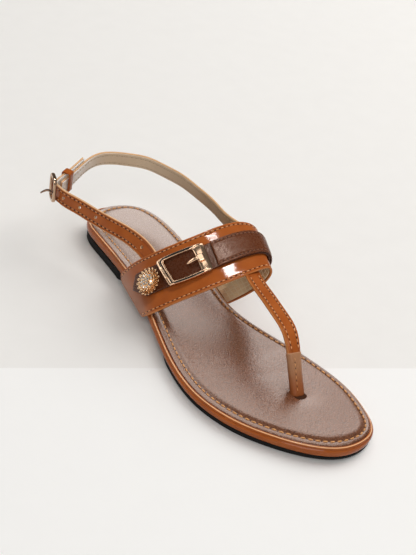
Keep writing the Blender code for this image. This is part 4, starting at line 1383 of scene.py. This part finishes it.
# The plate's rings from its foot: how far each is drawn in, and its lift
PLATE_RINGS = ((0.0, 1.0), (0.0, 1.66), (0.14, 1.78), (0.5, 1.80), (1.0, 1.80))
PRONG = table(
    "reach half_width rise wall",
    (6.05, 0.10, 0.30, 0.30),
    (5.80, 0.42, 0.15, 0.70),
    (4.40, 0.75, 0.70, 1.10),
    (1.00, 1.05, 2.10, 1.30),
    (-0.20, 1.10, 2.20, 1.30),
    (-0.55, 2.20, 2.20, 1.25),
    (-1.00, 2.60, 2.20, 1.30),
    (-3.60, 2.60, 2.20, 1.30),
    (-4.05, 2.20, 2.20, 1.00),
    (-4.20, 1.50, 2.20, 0.50),
)


def gold_finish(name, light, deep):
    """Polished plating with a faint ripple from buffing."""
    gold = Finish(name, Metallic=1.0)
    ripple = gold.noise(240.0, 2.0)
    tone = gold.noise(90.0, 2.0)
    gold.paint(Base_Color=gold.blend(tone, deep, light), Roughness=tone * 0.08 + 0.12)
    gold.bump(ripple, 0.015)
    return gold


gold = gold_finish("rose_gold", (0.98, 0.70, 0.48, 1), (0.93, 0.59, 0.37, 1))


def on_band(middle, along, over, lift):
    """A point at distances along and over the band from a middle, raised by lift."""
    share, breadth = middle
    step = 0.01
    ends = band_point(np.array([share - step, share + step]), np.full(2, breadth), 0.0)
    sides = band_point(np.full(2, share), np.array([breadth - step, breadth + step]), 0.0)
    share_per_mm = 2 * step / np.linalg.norm(ends[1] - ends[0])
    breadth_per_mm = 2 * step / np.linalg.norm(sides[1] - sides[0])
    return band_point(share + along * share_per_mm, breadth + over * breadth_per_mm, lift)


def rounded_rectangle(length, width, corner, straight=14, arc=7):
    """Points round a rectangle with round corners, the same number for any size.

    Each quarter is an arc about its corner's centre, then a straight run to the next arc.
    """
    turn = (np.arange(4)[:, None] + np.linspace(0, 1, arc)) * math.pi / 2
    centre = np.array([[1, 1], [-1, 1], [-1, -1], [1, -1]]) * (np.array([length, width]) / 2 - corner)
    arcs = centre[:, None] + corner * np.stack([np.cos(turn), np.sin(turn)], -1)
    leave, enter = arcs[:, -1:], np.roll(arcs, -1, axis=0)[:, :1]
    runs = leave + (enter - leave) * np.linspace(0, 1, straight + 2)[1:-1, None]
    return np.concatenate([arcs, runs], 1).reshape(-1, 2).T


def squarish(wave, power):
    """A sine or cosine pushed towards 1 and -1 by a power below 1, which squares off a circle."""
    return np.sign(wave) * np.abs(wave) ** power


def with_ends(rings):
    """Rings closed at both ends by one more ring, drawn in to the middle of the last one."""
    ends = [rings[number] * 0 + rings[number].mean(axis=0) for number in (0, -1)]
    return np.concatenate([ends[:1], rings, ends[1:]])


def make_vamp_buckle():
    """The frame's profile carried from its outer outline to its window, along the curved band."""
    near, far = BUCKLE_BARS
    outer = rounded_rectangle(BUCKLE_LENGTH, BUCKLE_WIDTH, BUCKLE_CORNER)
    window_size = (BUCKLE_LENGTH - near - far, BUCKLE_WIDTH - 2 * BUCKLE_SIDE)
    window = rounded_rectangle(*window_size, WINDOW_CORNER)
    window[0] += (near - far) / 2
    for loop in (outer, window):
        loop[1] *= 1 + 2 * BUCKLE_BOW / BUCKLE_WIDTH * (1 - (2 * loop[0] / BUCKLE_LENGTH) ** 2)
    half = BUCKLE_LENGTH / 2
    wide = smooth_step(outer[0], half - far, half - 1.0)
    narrow = smooth_step(-outer[0], half - near, half - 1.0)
    parts = (("side", 1 - wide - narrow), ("narrow", narrow), ("wide", wide))
    share = sum(BUCKLE_PROFILE[f"{part}_share"][:, None] * weight for part, weight in parts)
    lift = sum(BUCKLE_PROFILE[part][:, None] * weight for part, weight in parts)
    along, over = (outer[axis] + (window[axis] - outer[axis]) * share for axis in (0, 1))
    bar = smooth_step(np.abs(outer[0]), half - 2.0, half - 0.5)
    lift = lift * (1 - BAR_DROP / BUCKLE_WALL * bar * (2 * over / BUCKLE_WIDTH) ** 2) + BUCKLE_LOW
    grid = on_band(BUCKLE_MIDDLE, along, over, lift)
    slots = np.zeros(grid.shape[:2], int)
    slots[CHANNEL_ROWS] = wide < 0.5
    return surface("vamp_buckle_frame", np.concatenate([grid, grid[:1]]), ring=True, slots=slots)


def make_plate():
    """The plain raised plate on the narrow bar: rounded rectangles that shrink as they rise."""
    centre = -BUCKLE_LENGTH / 2 + BUCKLE_BARS[0] * PLATE_SPOT
    rows = []
    for shrink, lift in PLATE_RINGS:
        size = [max(side - 2 * shrink, 1e-3) for side in PLATE_SIZE]
        along, over = rounded_rectangle(*size, min(PLATE_CORNER, min(size) / 2 * 0.99))
        rows.append(on_band(BUCKLE_MIDDLE, along + centre, over, BUCKLE_LOW + lift + 0 * along))
    return surface("buckle_plate", with_ends(np.array(rows)), ring=True)


def make_prong():
    """The prong from its tip to its foot: flattened round sections, broad over the wide bar."""
    steps = np.arange(len(PRONG["reach"]))
    fine = np.linspace(0, steps[-1], 46)
    reach, half, rise, wall = (np.interp(fine, steps, column)[:, None] for column in PRONG.values())
    turn = full_turn(20)
    wide, tall = squarish(np.cos(turn), 0.7), squarish(np.sin(turn), 0.7)
    along = BUCKLE_LENGTH / 2 - BUCKLE_BARS[1] - reach + 0 * turn
    grid = on_band(BUCKLE_MIDDLE, along, half * wide, BUCKLE_LOW + rise + wall * (0.5 + 0.5 * tall))
    return surface("vamp_prong_t", with_ends(grid), ring=True)


# The channel's black is painted shade and painted dark reflection on the polished metal
channel_shade = Finish("painted_channel_shade", Roughness=0.35)
channel_shade.paint(Base_Color=(0.008, 0.006, 0.005, 1))
buckle_metal = [
    fasten(make_vamp_buckle(), "rose_gold", ["vamp_buckle"], gold, channel_shade),
    fasten(make_plate(), "rose_gold", ["vamp_buckle"], gold),
    fasten(make_prong(), "rose_gold", ["vamp_prong"], gold),
]

# Rosette
# A riveted jewel on the dark strap's point: a gold dish with two tiers of cast looped petals, and
# a dome of clear cut stones, each held in its own small cup.
ROSETTE_MIDDLE = (0.168, 0.49)
ROSETTE_RADIUS = 8.2
ROSETTE_HEIGHT = 5.6
ROSETTE_LOW = OVERLAY_TOP + SEAT_GAP
DISH = table(
    "radius height",
    (0.00, 0.80),
    (0.34, 0.74),
    (0.50, 0.54),
    (0.58, 0.22),
    (0.56, 0.04),
    (0.50, 0.00),
    (0.00, 0.00),
)
PETAL_TIERS = table(
    "count middle half_length half_width height rise",
    (19, 0.775, 1.70, 0.56, 0.08, 1.7),
    (15, 0.60, 1.30, 0.56, 0.34, 2.0),
)
DOME_ROWS = slice(0, 4)
PETAL_WIRE = 0.31
PETAL_SWELL = 0.25
PETAL_LIFT = 0.3
STONE_RINGS = table(
    "count radius stagger",
    (1, 0.0, 0.0),
    (6, 0.235, 0.0),
    (11, 0.44, 0.25),
)
STONE_RADIUS = 0.74
STONE_FACETS = 8
STONE_CUT = table(
    "radius lift",
    (0.0, 0.95),
    (0.52, 0.95),
    (0.86, 0.62),
    (1.0, 0.25),
    (0.9, 0.0),
    (0.0, -0.2),
)
CUP_SIDES = 14
STONE_CUP = table(
    "radius lift",
    (0.85, 0.1),
    (0.9, 0.45),
    (1.08, 0.50),
    (1.16, 0.32),
    (1.22, -0.2),
    (1.0, -0.5),
    (0.95, 0.1),
)


def dome_height(reach):
    """Height of the jewel's dome at a share of its radius."""
    return ROSETTE_HEIGHT * np.interp(reach, DISH["radius"][DOME_ROWS], DISH["height"][DOME_ROWS])


def squared(middle, along, over):
    """Distances square to each other as distances along and over the band, whose rulings slant."""
    share, breadth = (np.array([value]) for value in middle)
    step = 0.01
    spot = band_point(share, breadth, 0.0)
    ahead = unit(band_point(share + step, breadth, 0.0) - spot)
    aside = unit(band_point(share, breadth + step, 0.0) - spot)
    slant = np.sum(ahead * aside)
    upright = math.sqrt(1 - slant**2)
    return along - over * slant / upright, over / upright


def on_rosette(along, over, lift):
    """A point of the jewel at distances from its middle."""
    return on_band(ROSETTE_MIDDLE, *squared(ROSETTE_MIDDLE, along, over), ROSETTE_LOW + lift)


def on_dome(along, over):
    """A point on the jewel's dome at distances from its middle."""
    return on_rosette(along, over, dome_height(np.hypot(along, over) / ROSETTE_RADIUS))


def make_dish():
    """The dish's profile turned about the middle of the jewel."""
    turn = full_turn(48)
    reach = ROSETTE_RADIUS * DISH["radius"][:, None]
    lift = ROSETTE_HEIGHT * DISH["height"][:, None] + 0 * turn
    return surface("rosette_dish", on_rosette(reach * np.cos(turn), reach * np.sin(turn), lift), ring=True)


def make_petals():
    """Tiers of small cast loops: a wire round an oval that points outwards and rises to its tip.

    At angle t of the oval a loop lies half_length * cos t out and half_width * sin t aside of its
    middle, and stands rise * (1 + cos t) / 2 above its tier.
    """
    shapes = []
    for count, middle, half_length, half_width, height, rise in zip(*PETAL_TIERS.values()):
        turn = ((np.arange(int(count)) + height) * 2 * math.pi / count)[:, None, None]
        oval = full_turn(18)
        wire = full_turn(8)[:, None]
        thick = PETAL_WIRE * (1 + PETAL_SWELL * np.cos(oval))
        out = ROSETTE_RADIUS * middle + (half_length + thick * np.cos(wire)) * np.cos(oval)
        wide = (half_width + thick * np.cos(wire)) * np.sin(oval)
        lift = ROSETTE_HEIGHT * height + rise * (1 + np.cos(oval)) / 2 + thick * np.sin(wire) + PETAL_LIFT
        along = out * np.cos(turn) - wide * np.sin(turn)
        over = out * np.sin(turn) + wide * np.cos(turn)
        loops = on_rosette(along, over, np.broadcast_to(lift, along.shape))
        shapes.append(np.concatenate([loops, loops[:, :1]], 1))
    return surface("rosette_petals", np.concatenate(shapes), ring=True)


def band_up(middle):
    """The way that the band's outer face points at a place on it."""
    share, breadth = np.array([middle[0]]), np.array([middle[1]])
    return band_point(share, breadth, 1.0)[0] - band_point(share, breadth, 0.0)[0]


def stone_places():
    """Middle of each stone and the way it faces, ring by ring over the dome."""
    nudge = 0.25
    places = []
    for count, reach, stagger in zip(*STONE_RINGS.values()):
        turn = (np.arange(int(count)) + stagger) * 2 * math.pi / count
        along, over = (ROSETTE_RADIUS * reach * wave for wave in (np.cos(turn), np.sin(turn)))
        low = on_dome(along, over)
        east = unit(on_dome(along + nudge, over) - low)
        north = square_to(on_dome(along, over + nudge) - low, east)
        up = np.cross(north, east)
        up *= np.sign(np.sum(up * band_up(ROSETTE_MIDDLE), -1, keepdims=True))
        places.append(np.stack([low, east, north, up], 1))
    return np.concatenate(places).transpose(1, 0, 2)[:, :, None, None]


def make_turned(name, radius, lift, sides, offset=0.0, faceted=False):
    """The same turned shape at each stone's place: rings of a radius and lift with a number of sides."""
    low, east, north, up = stone_places()
    turn = ((np.arange(sides) + offset) * 2 * math.pi / sides)[:, None]
    radius, lift = radius[:, None, None], lift[:, None, None]
    grid = low + radius * (east * np.cos(turn) + north * np.sin(turn)) + up * lift
    return surface(name, grid, ring=True, faceted=faceted)


def stone_finish():
    """Foiled clear crystal: bright facets that mirror the studio, with a faint cool tint."""
    stone = Finish("clear_stone", Metallic=0.9, Coat_Weight=1.0, Coat_Roughness=0.02)
    tint = stone.noise(700.0, 1.0)
    stone.paint(Base_Color=stone.blend(tint, (0.80, 0.80, 0.84, 1), (0.97, 0.96, 0.96, 1)))
    stone.paint(Roughness=tint * 0.05 + 0.03)
    return stone


copper = gold_finish("copper_gold", (0.98, 0.72, 0.46, 1), (0.93, 0.60, 0.34, 1))
dish, petals = make_dish(), make_petals()
cups = make_turned("rosette_cups", STONE_CUP["radius"], STONE_CUP["lift"], CUP_SIDES)
jewel_metal = [fasten(piece, "rose_gold", ["rosette"], copper) for piece in (dish, petals, cups)]
stone_radius = STONE_CUT["radius"] * STONE_RADIUS
stones = make_turned("rosette_stones", stone_radius, STONE_CUT["lift"], STONE_FACETS, 0.5, faceted=True)
fasten(stones, "rose_gold", ["rosette"], stone_finish())

# Sling buckle
# A small frame of rounded bar on the outside of the sling and its bent tongue, their rose gold painted darker
# than the vamp buckle's as painted shade and dark reflection, and a leather keeper that holds the strap's
# tip.
FRAME_MIDDLE = (-44.9, 8.3, 38.0)
FRAME_TURN = 16.0
FRAME_HEIGHT = 17.2
FRAME_LENGTH = 12.5
FRAME_CORNER = 3.6
FRAME_WIRE = 1.1
TONGUE = table(
    "across station height radius",
    (-48.5, 13.8, 37.8, 0.80),
    (-48.2, 10.0, 37.4, 0.78),
    (-49.0, 7.0, 36.0, 0.70),
    (-51.3, 5.2, 33.8, 0.45),
)
TONGUE_SPACING = 0.4
KEEPER_ACROSS = -32.3
KEEPER_LENGTH = 4.8
KEEPER_WALL = 0.9
KEEPER_ROOM = 0.4
KEEPER_CORNER = 0.6
KEEPER_PLAIN = 30.0


def make_frame():
    """A bar of rounded-square section carried round an upright rounded rectangle."""
    size = (FRAME_LENGTH - 2 * FRAME_WIRE, FRAME_HEIGHT - 2 * FRAME_WIRE)
    along, up = rounded_rectangle(*size, FRAME_CORNER, 8, 12)
    line = np.column_stack([along, up])
    ahead = unit(np.roll(line, -1, axis=0) - np.roll(line, 1, axis=0))
    outward = np.column_stack([ahead[:, 1], -ahead[:, 0]])
    turn = full_turn(16)[:, None]
    out, deep = (squarish(wave, 0.6) * FRAME_WIRE for wave in (np.cos(turn), np.sin(turn)))
    flat = line + out[..., None] * outward
    deep = deep + 0 * along
    yaw = math.radians(FRAME_TURN)
    along, up = flat[..., 0], flat[..., 1]
    across = FRAME_MIDDLE[0] - along * math.sin(yaw) + deep * math.cos(yaw)
    station = FRAME_MIDDLE[1] + along * math.cos(yaw) + deep * math.sin(yaw)
    grid = np.stack([across, station, FRAME_MIDDLE[2] + up], -1)
    return surface("ankle_buckle_frame", np.concatenate([grid, grid[:1]]), ring=True)


def make_tongue():
    """A round wire along a bent route, tapered to a blunt tip."""
    across, station, height, radius = path_through(list(TONGUE.values()), TONGUE_SPACING)
    route = np.column_stack([across, station, height])
    along = unit(np.gradient(route, axis=0))
    side = unit(np.cross(along, [0.0, 0.0, 1.0]))
    turn = full_turn(12)[:, None]
    ring = side[:, None] * np.cos(turn) + np.cross(side, along)[:, None] * np.sin(turn)
    grid = route[:, None] + ring * radius[:, None, None]
    return surface("ankle_prong_tongue", with_ends(grid), ring=True)


def make_keeper():
    """A closed leather loop: a round-edged strip carried round the two straps that it holds.

    Its strip coordinates lie far from any edge, so the finish gives it no seam.
    """
    two_straps = 2 * SLING_WALL - SEWN_OVERLAP
    spot = beside_long_sling(long_route, KEEPER_ACROSS, (SLING_WALL - SEWN_OVERLAP) / 2)
    centre = spot["middle"] + spot["width"] * TIP_RISE / 2
    rows = []
    for turn in np.linspace(0, 2 * math.pi, 17):
        grow = KEEPER_WALL / 2 * (1 + squarish(math.cos(turn), 0.5))
        end = KEEPER_LENGTH / 2 * squarish(math.sin(turn), 0.35)
        room = 2 * (KEEPER_ROOM + grow)
        size = (SLING_WIDTH + TIP_RISE + room, two_straps + room)
        tall, deep = rounded_rectangle(*size, KEEPER_CORNER + grow, 8, 6)
        section = tall[:, None] * spot["width"] + deep[:, None] * spot["face"]
        rows.append(centre + spot["along"] * end + section)
    grid = np.array(rows)
    far = np.full((len(rows), grid.shape[1] + 1), KEEPER_PLAIN)
    return surface("ankle_keeper_loop", grid, np.stack([far, far], -1), ring=True)


# The same rose gold painted darker, as painted shade and dark reflection, and the tongue darker still
shaded_gold = gold_finish("shaded_rose_gold", (0.78, 0.55, 0.39, 1), (0.36, 0.22, 0.13, 1))
fasten(make_frame(), "rose_gold", ["ankle_buckle"], shaded_gold)
darker_shaded_gold = gold_finish("shaded_dark_rose_gold", (0.42, 0.26, 0.17, 1), (0.20, 0.11, 0.07, 1))
fasten(make_tongue(), "rose_gold", ["ankle_prong"], darker_shaded_gold)
fasten(make_keeper(), "tan_patent", ["ankle_keeper"], patent)

# Studio
# A pale floor under a small overhead softbox that draws the sharp highlights, with broad dim
# panels behind and beside it. Most are flagged, so that they reach only the pieces they are set for.
CAMERA_AZIMUTH = -36.818
CAMERA_ELEVATION = 31.711
CAMERA_ROLL = -9.286
CAMERA_DISTANCE = 747.183
CAMERA_SHIFT = (-0.907, 29.62)
CAMERA_LENS = 85.0
# Each panel's place and size in metres, its power, and whether glossy pieces mirror it
PANELS = {
    "overhead": ((-0.02, 0.0, 1.3), (0.10, 0.30), 6.6, True),
    "behind": ((0.52, 1.34, 1.34), (1.72, 1.40), 15.0, True),
    "behind_low": ((1.08, 1.54, 0.70), (1.75, 0.83), 5.0, True),
    "rear_side": ((-1.15, 1.58, 0.48), (1.70, 0.60), 5.4, True),
    "buckle_card": ((-0.58, 0.10, 1.32), (0.80, 0.80), 2.4, True),
    "camera_side": ((-1.2, -1.5, 1.7), (1.4, 1.4), 19.0, True),
    "medial_fill": ((1.3, 0.6, 2.1), (3.6, 3.6), 50.0, False),
    "floor_key": ((1.8, 0.2, 1.7), (1.7, 1.7), 25.0, False),
}
PANEL_AIM = (0.0, 0.0, 0.03)
WORLD_TINT = (1.0, 0.975, 0.94, 1)
WORLD_LIGHT = (0.25, 0.10)
HORIZON = (0.25, 0.46)
FLOOR_HALF = 6000.0
NEAR_SHEET = (-111.3, 39.8)
SHEET_BLUR = 0.0005


def make_floor():
    """A flat floor of pale warm paper, with a whiter sheet on its near side."""
    ends = np.array([-FLOOR_HALF, FLOOR_HALF])
    across, station = np.meshgrid(ends, ends)
    floor = surface("floor", np.stack([across, station, 0 * across], -1))
    paper = Finish("pale_paper", IOR=1.4, Emission_Strength=0.05)
    fibre = paper.noise(60.0, 4.0)
    spot = paper.place()
    turn, apart = math.radians(NEAR_SHEET[0]), NEAR_SHEET[1] * 0.001
    nearer = paper.axis(spot, "X") * math.cos(turn) + paper.axis(spot, "Y") * math.sin(turn) - apart
    far = paper.blend(fibre, (0.855, 0.832, 0.798, 1), (0.885, 0.862, 0.828, 1))
    near = paper.blend(fibre, (0.930, 0.915, 0.890, 1), (0.955, 0.940, 0.915, 1))
    sheet = paper.blend(nearer.clear_of(-SHEET_BLUR, SHEET_BLUR), far, near)
    paper.paint(Base_Color=sheet, Emission_Color=sheet)
    paper.paint(Roughness=fibre * 0.1 + 0.7)
    floor.data.materials.append(paper.material)
    return floor


def make_panel(name, place_at, size, power, mirrored):
    """A soft light, wide and tall, that faces the shoe. One that isn't mirrored only shades."""
    light = bpy.data.lights.new(name, "AREA")
    light.shape = "RECTANGLE"
    light.size, light.size_y = size
    light.energy = power
    panel = bpy.data.objects.new(name, light)
    bpy.context.scene.collection.objects.link(panel)
    panel.location = place_at
    panel.visible_glossy = mirrored
    aim = Vector(PANEL_AIM) - Vector(place_at)
    panel.rotation_euler = aim.to_track_quat("-Z", "Y").to_euler()


def reach_only(name, state, *pieces):
    """Flags a light, so that it reaches only the pieces included, or all but those excluded."""
    group = bpy.data.collections.new(f"{name}_flag")
    bpy.data.objects[name].light_linking.receiver_collection = group
    for piece in pieces:
        group.objects.link(piece)
    for entry in group.collection_objects:
        entry.light_linking.link_state = state


def make_camera():
    """The camera turned about the shoe by azimuth and elevation, then rolled and shifted in its plane."""
    azimuth, elevation, roll = np.radians([CAMERA_AZIMUTH, CAMERA_ELEVATION, CAMERA_ROLL])
    level = np.array([math.cos(azimuth), math.sin(azimuth), 0.0])
    back = np.array([math.sin(azimuth), -math.cos(azimuth), 0.0]) * math.cos(elevation)
    back[2] = math.sin(elevation)
    upright = np.cross(back, level)
    right = math.cos(roll) * level - math.sin(roll) * upright
    up = math.sin(roll) * level + math.cos(roll) * upright
    eye = (back * CAMERA_DISTANCE + right * CAMERA_SHIFT[0] + up * CAMERA_SHIFT[1]) * 0.001 + shoe_place
    lens = bpy.data.cameras.new("camera")
    lens.lens = CAMERA_LENS
    camera = bpy.data.objects.new("camera", lens)
    bpy.context.scene.collection.objects.link(camera)
    turn = np.eye(4)
    turn[:3] = np.column_stack([right, up, back, eye])
    camera.matrix_world = Matrix(turn.tolist())
    bpy.context.scene.camera = camera


floor = make_floor()
for panel_name, panel_values in PANELS.items():
    make_panel(panel_name, *panel_values)
vamp_metal = buckle_metal + jewel_metal
reach_only("overhead", "EXCLUDE", floor, insole, *vamp_metal)
reach_only("behind", "INCLUDE", insole, midsole, *vamp_metal)
reach_only("behind_low", "INCLUDE", insole, *vamp_metal)
reach_only("rear_side", "INCLUDE", *vamp_metal)
reach_only("buckle_card", "INCLUDE", *buckle_metal)
reach_only("floor_key", "INCLUDE", floor)
make_camera()


def make_world():
    """A pale wall of light round the horizon that fades to a dim ceiling."""
    world = bpy.data.worlds.new("studio")
    world.use_nodes = True
    tree = world.node_tree
    sky = tree.nodes["Background"]
    spot = tree.nodes.new("ShaderNodeTexCoord")
    axes = tree.nodes.new("ShaderNodeSeparateXYZ")
    fade = tree.nodes.new("ShaderNodeMapRange")
    fade.interpolation_type = "SMOOTHSTEP"
    low, high = HORIZON
    for socket, value in zip(("From Min", "From Max", "To Min", "To Max"), (low, high, *WORLD_LIGHT)):
        fade.inputs[socket].default_value = value
    tree.links.new(spot.outputs["Generated"], axes.inputs["Vector"])
    tree.links.new(axes.outputs["Z"], fade.inputs["Value"])
    tree.links.new(fade.outputs["Result"], sky.inputs["Strength"])
    sky.inputs["Color"].default_value = WORLD_TINT
    bpy.context.scene.world = world


make_world()
bpy.context.scene.view_settings.view_transform = "Standard"
